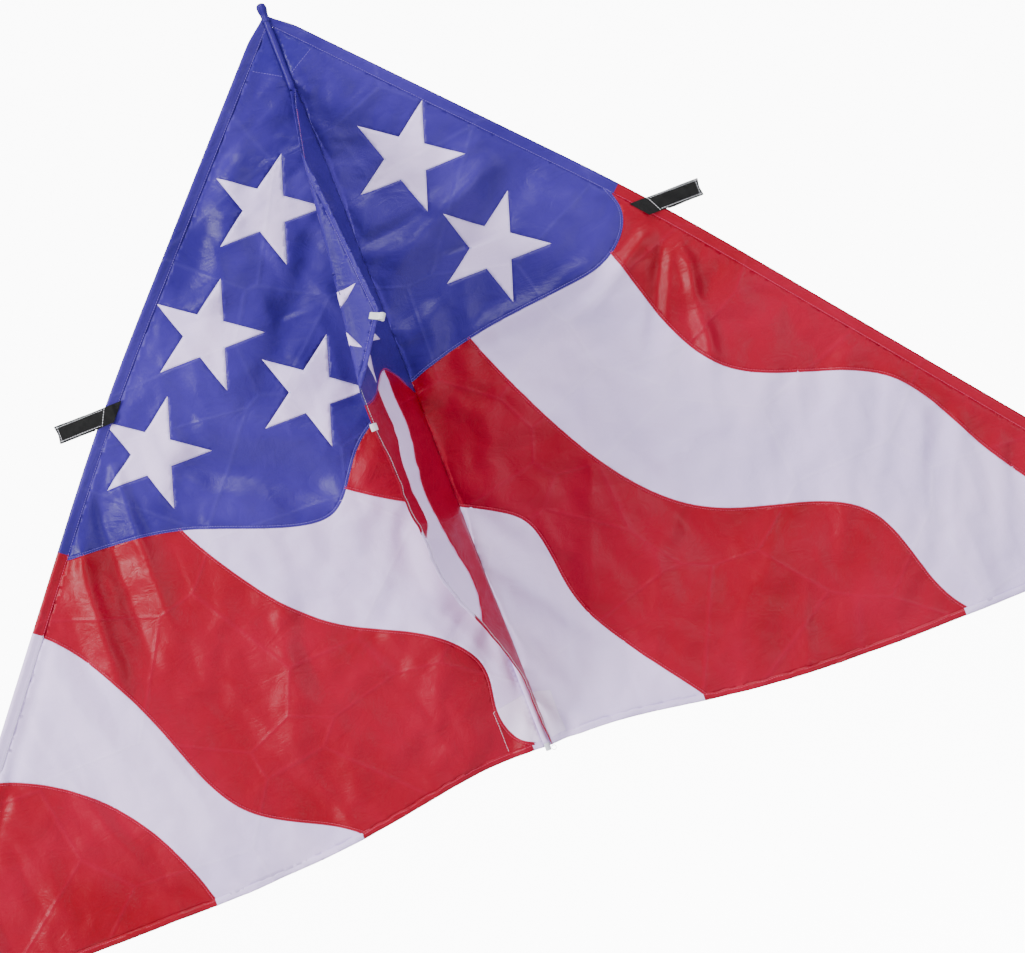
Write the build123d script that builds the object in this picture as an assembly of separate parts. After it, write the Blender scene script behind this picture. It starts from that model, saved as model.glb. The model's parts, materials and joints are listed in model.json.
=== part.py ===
from build123d import *
import os
from math import cos, hypot, radians, sin

# A single-line delta kite, about 2.3 m across, nose up, seen from the keel side.
# Millimetres. X runs to the flyer's right, Y away from the flyer, Z up the spine.
# Every shape is first laid out with the nose at zero, then moved so that the
# eye of the upper tow loop is the origin.

# overall outline
SPAN_HALF = 1150.0
LENGTH = 1320.0
TIP_Z = -1364.0
CORNER_X = 488.0
CORNER_Z = -532.0
NOSE_Z = -6.0
EDGE_RADIUS = 4300.0
TRAIL_XS = (0.0, 100.0, 300.0, 500.0, 800.0)
TRAIL_DROP = (0.0, 3.0, -22.0, -40.0, -44.0)
TRAIL_Z = -1312.0

# cloth
CLOTH = 0.6
LAYER_GAP = 0.05
SEAM_GAP = 0.3
SLEEVE_WIDTH = 20.0
HEM_WIDTH = 10.0
HEM_THICK = 1.2
STAR_R = 97.0
STAR_INNER_R = 37.0
STAR_THICK = 0.5

# rods, caps and sleeves
SPINE_R = 4.0
SPINE_CAP_R = 4.85
SPINE_BORE_R = 5.1
SPINE_SLEEVE_R = 5.6
WING_START = 5.9
EDGE_ROD_R = 3.0
EDGE_CAP_R = 4.1
EDGE_BORE_R = 4.3
EDGE_SLEEVE_R = 4.8
EDGE_ROD_START = 150.0
EDGE_ROD_END = 32.0
CAP_LENGTH = 28.0
CAP_END = 4.0
FIT = 0.05

# spreader and its pockets
SPREADER_R = 4.0
SPREADER_Y = 11.6
SPREADER_Z = -541.0
SPREADER_REACH = 568.5
FERRULE_R = 5.5
FERRULE_LENGTH = 120.0
WEB_WIDTH = 30.0
WEB_THICK = 1.2
POCKET_END = 570.0

# keel, in its own plane: first number down from the nose, second out from the spine
KEEL_LEAN = 13.5
KEEL_TOP = 135.0
KEEL_DEPTH = 290.0
KEEL_FRONT_TOP = 525.0
KEEL_FRONT_BOTTOM = 735.0
KEEL_TAIL = 1312.0
KEEL_HEM = 8.0
CREASE_START = (250.0, 89.7)
CREASE_END = (670.0, 290.0)
CORNER_FOLD = 95.0
CREASE_GAP = 0.4
STAR_CREASE_GAP = 1.5
KEEL_STAR = (560.0, 182.0)
LOOP_R = 4.0
LOOP_WALL = 0.8
LOOP_WIDTH = 12.0
LOOP_LEG = 28.0
UPPER_LOOP_U = 536.0
LOWER_LOOP_U = 725.0
TAIL_LOOP_R = 3.5
TAIL_LOOP_WIDTH = 5.0

BIG = 3000.0

LEFT_STARS = [(-113, -320), (-280, -477), (-432, -626), (-152, -625)]
RIGHT_STARS = [(135, -322), (214, -511)]

# sewn seams, each carried past the edges of the sail
LEFT_CANTON = [(-760, -738), (-600, -739), (-437, -758), (-260, -819)]
LEFT_CANTON += [(-195, -824), (-120, -742), (0, -672), (20, -662)]
RIGHT_CANTON = [(-20, -680), (0, -672), (124, -637), (300, -615)]
RIGHT_CANTON += [(395, -588), (431, -535), (415, -480), (350, -385)]
LEFT_AB = [(-180, -775), (-150, -797), (-75, -847), (0, -882), (25, -892)]
LEFT_BC = [(-455, -655), (-437, -758), (-400, -826), (-247, -1000), (-80, -1102), (-55, -1146)]
LEFT_BC += [(-54, -1182), (-61, -1220), (-59, -1252), (-43, -1284), (-12, -1303), (22, -1318)]
LEFT_CD = [(-790, -790), (-694, -859), (-575, -1075), (-500, -1225), (-334, -1330), (-290, -1400)]
LEFT_DE = [(-950, -1030), (-825, -1059), (-669, -1191), (-598, -1362), (-590, -1400)]
RIGHT_AB = [(-25, -860), (0, -882), (100, -945), (130, -1080), (200, -1215), (290, -1340), (310, -1370)]
RIGHT_AF = [(110, -600), (124, -637), (230, -870), (400, -1043)]
RIGHT_AF += [(640, -1147), (700, -1307), (790, -1390)]
RIGHT_FG = [(370, -530), (393, -590), (500, -830), (750, -947), (850, -1107), (1045, -1364), (1070, -1400)]
KEEL_K1 = [(700, -15), (690, 6), (640, 115), (675, 205), (690, 290), (693, 320)]
KEEL_K2 = [(620, 112), (645, 114), (700, 112), (760, 119), (822, 130), (881, 120), (932, 106)]
KEEL_K2 += [(975, 80), (1008, 69), (1035, 74), (1059, 90), (1083, 119), (1096, 138)]
KEEL_K3 = [(650, 182), (673, 188), (700, 184), (755, 192), (814, 194), (850, 177)]
KEEL_K3 += [(876, 163), (897, 166), (919, 188), (936, 212)]


def shifted(points, dx, dz):
    return [(x + dx, z + dz) for x, z in points]


def to_keel(points):
    """Keel points as flat-sketch points: x out from the spine, y up."""
    return [(v, -u) for u, v in points]


def side_of(points, corners):
    """The flat region bounded by a seam and by far corners joined to its two ends."""
    seam = Spline(*points)
    rest = Polyline(points[-1], *corners, points[0])
    return make_face([seam, rest])


def above(points):
    return side_of(points, [(points[-1][0], BIG), (points[0][0], BIG)])


def right_of(points):
    return side_of(points, [(BIG, points[-1][1]), (BIG, points[0][1])])


def left_of(points):
    return side_of(points, [(-BIG, points[-1][1]), (-BIG, points[0][1])])


def below(points):
    return side_of(points, [(points[-1][0], -BIG), (points[0][0], -BIG)])


def edge_points(inset, past=0.0):
    """Nose, corner and tip of the right leading edge, moved inward by inset."""
    corner = (CORNER_X, CORNER_Z)
    first = (CORNER_X, CORNER_Z - NOSE_Z)
    second = (SPAN_HALF - CORNER_X, TIP_Z - CORNER_Z)
    n1 = hypot(*first)
    n2 = hypot(*second)
    in1 = (first[1] / n1, -first[0] / n1)
    in2 = (second[1] / n2, -second[0] / n2)
    share = 1.0 + in1[0] * in2[0] + in1[1] * in2[1]
    mitre = ((in1[0] + in2[0]) / share, (in1[1] + in2[1]) / share)
    start = (in1[0] * inset, NOSE_Z + in1[1] * inset)
    bend = (corner[0] + mitre[0] * inset, corner[1] + mitre[1] * inset)
    end_x = SPAN_HALF + in2[0] * inset + past * second[0] / n2
    end_z = TIP_Z + in2[1] * inset + past * second[1] / n2
    end = (end_x, end_z)
    return start, bend, end


def trimmed(points, first, last):
    """The same three-point path, cut shorter by first and last along its two legs."""
    a, b, c = points
    n1 = hypot(b[0] - a[0], b[1] - a[1])
    n2 = hypot(c[0] - b[0], c[1] - b[1])
    start = (a[0] + (b[0] - a[0]) * first / n1, a[1] + (b[1] - a[1]) * first / n1)
    end = (c[0] - (c[0] - b[0]) * last / n2, c[1] - (c[1] - b[1]) * last / n2)
    return start, b, end


def under_edge(inset):
    """Everything on the sail side of the right leading edge, moved inward by inset."""
    start, bend, end = edge_points(inset, 150.0)
    path = FilletPolyline(start, bend, end, radius=EDGE_RADIUS - inset)
    rest = Polyline(end, (end[0], -BIG), (start[0], -BIG), start)
    return make_face([*path.edges(), *rest.edges()])


def trail_points(inset):
    points = [(x, TRAIL_Z + dz + inset) for x, dz in zip(TRAIL_XS, TRAIL_DROP)]
    tip = [(SPAN_HALF, TIP_Z + inset), (SPAN_HALF + 120, TIP_Z + inset - 3)]
    return [(-40.0, points[0][1] - 2), *points, *tip]


def wing_flat(edge_inset, trail_inset):
    """Flat outline of the right wing with both free edges moved inward."""
    strip = Pos(WING_START + SPAN_HALF, -LENGTH / 2) * Rectangle(2 * SPAN_HALF, 2 * LENGTH)
    return under_edge(edge_inset) & above(trail_points(trail_inset)) & strip


def plate(flat, low, high):
    """A sheet between two heights toward the flyer, stood upright."""
    flat = flat if isinstance(flat, (list, tuple)) else flat.faces()
    body = Part() + [Pos(0, 0, low) * extrude(face, high - low, dir=(0, 0, 1)) for face in flat]
    return Plane.XZ * body


def cloth(flat):
    return plate(flat, -CLOTH / 2, CLOTH / 2)


def star_flat(x, y):
    """Five-pointed star with one point down."""
    points = []
    for k in range(10):
        r = STAR_R if k % 2 == 0 else STAR_INNER_R
        turn = radians(-90 + 36 * k)
        points.append((x + r * cos(turn), y + r * sin(turn)))
    return make_face(Polyline(*points, close=True))


def star(x, z):
    """Sewn-on star, trimmed where a point would run into the edge sleeve."""
    sail = wing_flat(SLEEVE_WIDTH + 0.6, HEM_WIDTH)
    sail = sail if x > 0 else mirror(sail, about=Plane.YZ)
    low = CLOTH / 2 + LAYER_GAP
    return plate(star_flat(x, z) & sail, low, low + STAR_THICK)


def swept_tube(points, outer, inner):
    path = FilletPolyline(*points, radius=EDGE_RADIUS - EDGE_SLEEVE_R)
    ring = Circle(outer) - Circle(inner) if inner else Circle(outer)
    return sweep(Plane(origin=path @ 0, z_dir=path % 0) * ring, path=path)


def edge_sleeve():
    """Leading-edge sleeve: a round pocket for the rod with a flat sewn flange."""
    points = trimmed(edge_points(EDGE_SLEEVE_R), 45.0, 14.0)
    tube = swept_tube(points, EDGE_SLEEVE_R, EDGE_BORE_R)
    flange = wing_flat(2 * EDGE_SLEEVE_R - 0.3, 2.0) - wing_flat(SLEEVE_WIDTH, -30.0)
    flange = max(flange.faces(), key=lambda face: face.area)
    keep = Pos(SPAN_HALF / 2, -LENGTH / 2) * Rectangle(SPAN_HALF - 40, 3 * LENGTH)
    body = extrude(flange & keep, 0.5, both=True)
    return Plane.XZ * (tube + body)


def edge_rod():
    points = trimmed(edge_points(EDGE_SLEEVE_R), EDGE_ROD_START, EDGE_ROD_END)
    return Plane.XZ * swept_tube(points, EDGE_ROD_R, None)


def cup(outer, bore, length, end):
    """A push-on cap: closed end at zero, bore opening along +Z."""
    body = Cylinder(outer, length, align=(Align.CENTER, Align.CENTER, Align.MIN))
    body = fillet(body.edges().group_by(Axis.Z)[0], 1.5)
    hole = Cylinder(bore, length, align=(Align.CENTER, Align.CENTER, Align.MIN))
    return body - Pos(0, 0, end) * hole


def edge_cap(at_tip):
    """Cap on one end of the edge rod."""
    a, b, c = trimmed(edge_points(EDGE_SLEEVE_R), EDGE_ROD_START, EDGE_ROD_END)
    end, toward = (c, b) if at_tip else (a, b)
    n = hypot(toward[0] - end[0], toward[1] - end[1])
    way = ((toward[0] - end[0]) / n, (toward[1] - end[1]) / n)
    back = CAP_END + FIT
    origin = (end[0] - way[0] * back, end[1] - way[1] * back, 0)
    place = Plane(origin=origin, x_dir=(0, 0, 1), z_dir=(way[0], way[1], 0))
    return Plane.XZ * (place * cup(EDGE_CAP_R, EDGE_ROD_R + FIT, CAP_LENGTH, CAP_END))


def spine_rod():
    height = LENGTH - 12.0
    rod = Cylinder(SPINE_R, height, align=(Align.CENTER, Align.CENTER, Align.MIN))
    return Pos(0, 0, -LENGTH + 6.0) * rod


def spine_sleeve():
    length = LENGTH - 28.0
    tube = Cylinder(SPINE_SLEEVE_R, length) - Cylinder(SPINE_BORE_R, length)
    return Pos(0, 0, -14.0 - length / 2) * tube


def nose_cap():
    """Rounded cap over the top of the spine, with a knob above the sleeve."""
    neck = Pos(0, 0, -40) * Cylinder(SPINE_CAP_R, 30, align=(Align.CENTER, Align.CENTER, Align.MIN))
    knob = Pos(0, 0, -13.5) * Cylinder(7.5, 15.5, align=(Align.CENTER, Align.CENTER, Align.MIN))
    knob = fillet(knob.edges().group_by(Axis.Z)[-1], 5.5)
    bore = Pos(0, 0, -45) * Cylinder(SPINE_R + FIT, 39.2, align=(Align.CENTER, Align.CENTER, Align.MIN))
    return neck + knob - bore


def tail_cap():
    """Cap on the foot of the spine."""
    body = cup(SPINE_CAP_R, SPINE_R + FIT, 36.0, 5.0)
    return Pos(0, 0, -LENGTH + 6.0 - 5.0 - FIT) * body


def tail_loop():
    """Small tape loop on the tail cap, for a drogue or tail."""
    outer = TAIL_LOOP_R + LOOP_WALL
    ring = Cylinder(outer, TAIL_LOOP_WIDTH) - Cylinder(TAIL_LOOP_R, TAIL_LOOP_WIDTH)
    ring = Rot(90, 0, 0) * ring
    return Pos(SPINE_CAP_R + 0.25 + outer, 0, -LENGTH + 2.8) * ring


def patch(flat):
    """Reinforcing patch behind the sail."""
    high = -CLOTH / 2 - LAYER_GAP
    return plate(flat, high - STAR_THICK, high)


def nose_patch():
    flat = Polyline((WING_START, -45), (WING_START, -125), (54, -96), (62, -86), close=True)
    return patch(make_face(flat) & wing_flat(SLEEVE_WIDTH + 0.3, 0))


def tail_patch(width):
    flat = Polyline((WING_START, -1218), (WING_START, -1330), (width, -1330), (width, -1226), close=True)
    return patch(make_face(flat) & wing_flat(SLEEVE_WIDTH, HEM_WIDTH + 0.3))


def trailing_hem():
    flat = wing_flat(SLEEVE_WIDTH + 0.3, 0.0) - wing_flat(0.0, HEM_WIDTH)
    face = max(flat.faces(), key=lambda one: one.area)
    return plate(face, -HEM_THICK / 2, HEM_THICK / 2)


def spreader_pocket():
    """Webbing strap folded around the leading edge into a pocket open toward the spine."""
    front = -CLOTH / 2 - WEB_THICK / 2 - 0.65
    over = -EDGE_SLEEVE_R - WEB_THICK / 2 - 0.35
    back = SPREADER_Y + SPINE_CAP_R + WEB_THICK / 2 + 0.4
    fold = SPREADER_Y - SPINE_CAP_R - WEB_THICK / 2 - 0.8
    turns = [(446, front), (462, front), (468, over), (510, over)]
    turns += [(POCKET_END, fold), (POCKET_END, back), (508, back)]
    strap = trace(FilletPolyline(*turns, radius=1.8), WEB_THICK)
    band = Part() + [extrude(face, WEB_WIDTH, dir=(0, 0, 1)) for face in strap.faces()]
    side = Polyline((516, over + 1), (POCKET_END, fold), (POCKET_END, back), (516, back), close=True)
    cheek = make_face(side)
    low = extrude(cheek, WEB_THICK, dir=(0, 0, 1))
    body = Pos(0, 0, SPREADER_Z - WEB_WIDTH / 2) * (band + low + Pos(0, 0, WEB_WIDTH - WEB_THICK) * low)
    slant = make_face(Polyline((430, -515), (446, -523), (476, -559), (430, -565), close=True))
    return body - plate(slant, -10, 10)


def spreader_rod(sign):
    """Half of the cross spar, from the middle of the ferrule to its pocket."""
    length = SPREADER_REACH - CAP_END - FIT - 0.5
    rod = Cylinder(SPREADER_R, length, align=(Align.CENTER, Align.CENTER, Align.MIN))
    return Pos(sign * 0.5, SPREADER_Y, SPREADER_Z) * (Rot(0, sign * 90, 0) * rod)


def spreader_cap(sign):
    body = cup(SPINE_CAP_R, SPREADER_R + FIT, CAP_LENGTH, CAP_END)
    return Pos(sign * SPREADER_REACH, SPREADER_Y, SPREADER_Z) * (Rot(0, -sign * 90, 0) * body)


def ferrule():
    tube = Cylinder(FERRULE_R, FERRULE_LENGTH) - Cylinder(SPREADER_R + FIT, FERRULE_LENGTH)
    return Pos(0, SPREADER_Y, SPREADER_Z) * (Rot(0, 90, 0) * tube)


def keel_outline(inset):
    """Keel region with its free edges moved inward, as a flat sketch."""
    slope_top = (KEEL_FRONT_TOP - KEEL_TOP) / (KEEL_DEPTH - WING_START)
    slope_low = (KEEL_TAIL - KEEL_FRONT_BOTTOM) / (KEEL_DEPTH - WING_START)
    past = 60.0
    top = (KEEL_TOP - slope_top * past, WING_START - past)
    low = (KEEL_TAIL + slope_low * past, WING_START - past)
    front = [(KEEL_FRONT_TOP, KEEL_DEPTH), (KEEL_FRONT_BOTTOM, KEEL_DEPTH)]
    whole = make_face(Polyline(*to_keel([top, *front, low]), close=True))
    whole = fillet(whole.vertices().sort_by(Axis.X)[-2:], 12.0)
    if inset:
        whole = offset(whole, -inset)
    strip = Pos(WING_START + BIG / 2, -LENGTH / 2) * Rectangle(BIG, BIG)
    return whole & strip


def crease_side(gap, outer):
    """Region of the keel plane on one side of the crease, kept clear of it by gap."""
    (u1, v1), (u2, v2) = CREASE_START, CREASE_END
    n = hypot(u2 - u1, v2 - v1)
    du, dv = (u2 - u1) / n, (v2 - v1) / n
    side = 1 if outer else -1
    nu, nv = -dv * side, du * side
    a = (u1 - du * 900 + nu * gap, v1 - dv * 900 + nv * gap)
    b = (u2 + du * 900 + nu * gap, v2 + dv * 900 + nv * gap)
    c = (b[0] + nu * 1500, b[1] + nv * 1500)
    d = (a[0] + nu * 1500, a[1] + nv * 1500)
    return make_face(Polyline(*to_keel([a, b, c, d]), close=True))


def raised(flat, low, high):
    """A sheet between two heights above the flat keel sketch."""
    return Part() + [Pos(0, 0, low) * extrude(face, high - low, dir=(0, 0, 1)) for face in flat.faces()]


def folded(body):
    """A piece of the flat keel turned about the crease to its folded place."""
    (u1, v1), (u2, v2) = CREASE_START, CREASE_END
    crease = Plane(origin=(v1, -u1, 0), x_dir=(v2 - v1, u1 - u2, 0), z_dir=(0, 0, 1))
    return crease.location * (Rot(-CORNER_FOLD, 0, 0) * (crease.location.inverse() * body))


def in_keel(body):
    """From the flat keel sketch to the leaning keel on the spine."""
    return Rot(0, 0, -90 - KEEL_LEAN) * (Plane.XZ.location * body)


def keel_panels():
    """Blue, rear red, white and front red cloth of the keel behind the crease."""
    half = SEAM_GAP / 2
    panel = keel_outline(KEEL_HEM + 0.3) & crease_side(CREASE_GAP, False)
    k1, k2, k3 = to_keel(KEEL_K1), to_keel(KEEL_K2), to_keel(KEEL_K3)
    blue = panel & above(shifted(k1, 0, half))
    rest = panel & below(shifted(k1, 0, -half))
    rear = rest - right_of(shifted(k2, -half, 0))
    front = rest & right_of(shifted(k3, half, 0))
    white = (rest & right_of(shifted(k2, half, 0))) - right_of(shifted(k3, -half, 0))
    return [raised(flat, -CLOTH / 2, CLOTH / 2) for flat in (blue, rear, white, front)]


def keel_corner_cloth():
    flat = keel_outline(KEEL_HEM + 0.3) & crease_side(CREASE_GAP, True)
    return raised(flat, -CLOTH / 2, CLOTH / 2)


def keel_hem(outer):
    """Folded hem strips along the free edges, on one side of the crease."""
    flat = (keel_outline(0.0) - keel_outline(KEEL_HEM)) & crease_side(CREASE_GAP + 0.3, outer)
    strips = flat.faces().sort_by(SortBy.AREA)
    return [Pos(0, 0, -HEM_THICK / 2) * extrude(face, HEM_THICK, dir=(0, 0, 1)) for face in strips]


def keel_star(outer):
    x, y = KEEL_STAR[1], -KEEL_STAR[0]
    flat = star_flat(x, y) & keel_outline(KEEL_HEM + 0.6) & crease_side(STAR_CREASE_GAP, outer)
    high = -CLOTH / 2 - LAYER_GAP
    return raised(flat, high - STAR_THICK, high)


def tow_loop(u):
    """Ribbon folded over the front edge of the keel, with an eye for the line clip."""
    outer = LOOP_R + LOOP_WALL
    eye = KEEL_DEPTH + LOOP_R + 1.5
    ring = Rot(90, 0, 0) * Cylinder(outer, LOOP_WIDTH)
    bore = Rot(90, 0, 0) * Cylinder(LOOP_R, LOOP_WIDTH + 2)
    near = HEM_THICK / 2 + LAYER_GAP
    leg = Box(LOOP_LEG, LOOP_WIDTH, 0.6, align=(Align.MAX, Align.CENTER, Align.MIN))
    legs = Pos(eye - 2, 0, near) * leg + Pos(eye - 2, 0, -near - 0.6) * leg
    slot = Box(60, LOOP_WIDTH + 2, 2 * near, align=(Align.MAX, Align.CENTER, Align.CENTER))
    slot = Pos(KEEL_DEPTH, 0, 0) * slot
    body = Pos(eye, 0, 0) * ring + legs - Pos(eye, 0, 0) * bore
    return Pos(0, -u, 0) * (body - Pos(0.3, 0, 0) * slot)


def loop_eye():
    """Centre of the upper eye, with the keel corner folded."""
    spot = Location((KEEL_DEPTH + LOOP_R + 1.5, -UPPER_LOOP_U, 0))
    return in_keel(folded(spot)).position


def left_panels():
    """Cloth of the left wing, which is the mirrored outline cut along its own seams."""
    h = SEAM_GAP / 2
    sail = mirror(wing_flat(SLEEVE_WIDTH + 0.3, HEM_WIDTH + 0.3), about=Plane.YZ)
    canton = sail & above(shifted(LEFT_CANTON, 0, h))
    rest = sail - above(shifted(LEFT_CANTON, 0, -h))
    red_centre = rest & above(shifted(LEFT_AB, h, h))
    white_inner = (rest & right_of(shifted(LEFT_BC, h, h))) - above(shifted(LEFT_AB, -h, -h))
    outer = rest - right_of(shifted(LEFT_BC, -h, -h))
    tipward = outer & left_of(shifted(LEFT_CD, -h, -h))
    red_middle = outer - left_of(shifted(LEFT_CD, h, h))
    red_tip = tipward & left_of(shifted(LEFT_DE, -h, -h))
    white_outer = tipward - left_of(shifted(LEFT_DE, h, h))
    return {
        "left_canton": canton,
        "left_red_centre": red_centre,
        "left_white_inner": white_inner,
        "left_red_middle": red_middle,
        "left_white_outer": white_outer,
        "left_red_tip": red_tip,
    }


def right_panels():
    """Cloth of the right wing."""
    h = SEAM_GAP / 2
    sail = wing_flat(SLEEVE_WIDTH + 0.3, HEM_WIDTH + 0.3)
    canton = sail & above(shifted(RIGHT_CANTON, -h, h))
    rest = sail - above(shifted(RIGHT_CANTON, h, -h))
    spineward = rest & left_of(shifted(RIGHT_AF, -h, -h))
    edgeward = rest - left_of(shifted(RIGHT_AF, h, h))
    return {
        "right_canton": canton,
        "right_red_centre": spineward - left_of(shifted(RIGHT_AB, h, h)),
        "right_white_inner": spineward & left_of(shifted(RIGHT_AB, -h, -h)),
        "right_white_outer": edgeward & left_of(shifted(RIGHT_FG, -h, -h)),
        "right_red_edge": edgeward - left_of(shifted(RIGHT_FG, h, h)),
    }


def flipped(body):
    return mirror(body, about=Plane.YZ)


def wing_hardware():
    """Right-hand versions of the pieces both wings share."""
    return {
        "edge_sleeve": edge_sleeve(),
        "edge_rod": edge_rod(),
        "edge_cap_upper": edge_cap(False),
        "edge_cap_lower": edge_cap(True),
        "nose_patch": nose_patch(),
        "spreader_pocket": spreader_pocket(),
        "trailing_hem": trailing_hem(),
    }


def all_pieces():
    pieces = {
        "spine_rod": spine_rod(),
        "spine_sleeve": spine_sleeve(),
        "nose_cap": nose_cap(),
        "tail_cap": tail_cap(),
        "tail_loop": tail_loop(),
        "ferrule": ferrule(),
        "spreader_left_rod": spreader_rod(-1),
        "spreader_right_rod": spreader_rod(1),
        "spreader_left_cap": spreader_cap(-1),
        "spreader_right_cap": spreader_cap(1),
        "left_tail_patch": flipped(tail_patch(66.0)),
        "right_tail_patch": tail_patch(39.0),
    }
    for name, flat in {**left_panels(), **right_panels()}.items():
        pieces[name] = cloth(flat)
    for side, spots in (("left", LEFT_STARS), ("right", RIGHT_STARS)):
        for k, (x, z) in enumerate(spots):
            pieces[f"{side}_star_{k + 1}"] = star(x, z)
    for name, body in wing_hardware().items():
        pieces[f"right_{name}"] = body
        pieces[f"left_{name}"] = flipped(body)
    for name, body in zip(("blue", "red_rear", "white", "red_front"), keel_panels()):
        pieces[f"keel_{name}"] = in_keel(body)
    hem_top, hem_front = keel_hem(False)
    pieces["keel_hem_top"] = in_keel(hem_top)
    pieces["keel_hem_front"] = in_keel(hem_front)
    pieces["keel_star"] = in_keel(keel_star(False))
    pieces["tow_loop_lower"] = in_keel(tow_loop(LOWER_LOOP_U))
    pieces["keel_corner_cloth"] = in_keel(folded(keel_corner_cloth()))
    pieces["keel_corner_hem"] = in_keel(folded(keel_hem(True)[-1]))
    pieces["keel_corner_star"] = in_keel(folded(keel_star(True)))
    pieces["tow_loop_upper"] = in_keel(folded(tow_loop(UPPER_LOOP_U)))
    return pieces


os.makedirs("parts", exist_ok=True)
eye = loop_eye()
for name, body in all_pieces().items():
    placed = Pos(-eye.X, -eye.Y, -eye.Z) * body
    placed.label = name
    export_step(placed, f"parts/{name}.step")
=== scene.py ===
import json
import logging
import math
from dataclasses import dataclass, field
from enum import Enum
from typing import Any, Callable, Iterable, Optional, Sequence

import bmesh
import bpy
import numpy as np
from mathutils import Matrix, Vector
from mathutils.bvhtree import BVHTree
from mathutils.geometry import delaunay_2d_cdt


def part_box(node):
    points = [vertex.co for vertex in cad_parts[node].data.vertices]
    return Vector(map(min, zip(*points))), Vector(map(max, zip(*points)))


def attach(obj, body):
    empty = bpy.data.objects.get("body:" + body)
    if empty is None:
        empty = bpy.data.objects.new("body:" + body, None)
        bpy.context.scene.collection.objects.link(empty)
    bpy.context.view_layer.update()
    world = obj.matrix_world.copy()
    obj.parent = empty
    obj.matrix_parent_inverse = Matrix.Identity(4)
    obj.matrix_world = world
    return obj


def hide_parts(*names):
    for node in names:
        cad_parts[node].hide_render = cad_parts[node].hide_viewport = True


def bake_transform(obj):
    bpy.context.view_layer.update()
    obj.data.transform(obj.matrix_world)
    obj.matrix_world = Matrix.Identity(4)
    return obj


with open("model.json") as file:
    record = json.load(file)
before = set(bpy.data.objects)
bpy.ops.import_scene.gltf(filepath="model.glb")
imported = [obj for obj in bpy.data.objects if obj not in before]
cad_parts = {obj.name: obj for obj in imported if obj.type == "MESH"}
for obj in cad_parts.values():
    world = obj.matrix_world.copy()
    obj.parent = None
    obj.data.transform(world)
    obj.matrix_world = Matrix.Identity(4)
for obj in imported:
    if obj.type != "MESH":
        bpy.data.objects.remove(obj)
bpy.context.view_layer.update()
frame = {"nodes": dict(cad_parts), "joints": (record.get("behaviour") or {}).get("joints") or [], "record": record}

log = logging.getLogger("kite")
Array = np.ndarray
Place = tuple[float, float, float]
Colour = tuple[float, float, float, float]
MM = 0.001


class Side(Enum):
    """The two wings, as seen by the flyer."""

    LEFT = -1
    RIGHT = 1

    @property
    def word(self) -> str:
        """The wing's name, as its pieces use it."""
        return self.name.lower()


class Dye(Enum):
    """The three cloth colours of the sail."""

    BLUE = "blue_cloth"
    RED = "red_cloth"
    WHITE = "white_cloth"

    @property
    def word(self) -> str:
        """The colour's plain name."""
        return self.name.lower()


def srgb(r: float, g: float, b: float) -> Colour:
    """Turns a colour as seen (0 to 255) into the shader's linear values.

    Args:
        r: Red.
        g: Green.
        b: Blue.

    Returns:
        The linear colour with full alpha.
    """
    def one(c: float) -> float:
        """Linear value of one channel."""
        c /= 255.0
        return c / 12.92 if c <= 0.04045 else ((c + 0.055) / 1.055) ** 2.4
    return one(r), one(g), one(b), 1.0


class Value:
    """A number socket that can be used in Python arithmetic."""

    def __init__(self, tree: "Recipe", socket: Any) -> None:
        """Keeps the tree and its socket."""
        self.tree = tree
        self.socket = socket

    def _math(self, operation: str, first: Any, second: Any) -> "Value":
        """One Math node on two values."""
        node = self.tree.add("ShaderNodeMath", {"operation": operation}, {0: first, 1: second})
        return Value(self.tree, node.outputs[0])

    def __add__(self, other: Any) -> "Value":
        """Sum."""
        return self._math("ADD", self, other)

    def __radd__(self, other: Any) -> "Value":
        """Sum with a plain number first."""
        return self._math("ADD", other, self)

    def __sub__(self, other: Any) -> "Value":
        """Difference."""
        return self._math("SUBTRACT", self, other)

    def __rsub__(self, other: Any) -> "Value":
        """Difference with a plain number first."""
        return self._math("SUBTRACT", other, self)

    def __mul__(self, other: Any) -> "Value":
        """Product."""
        return self._math("MULTIPLY", self, other)

    def __rmul__(self, other: Any) -> "Value":
        """Product with a plain number first."""
        return self._math("MULTIPLY", other, self)

    def __pow__(self, other: Any) -> "Value":
        """Power."""
        return self._math("POWER", self, other)


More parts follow.
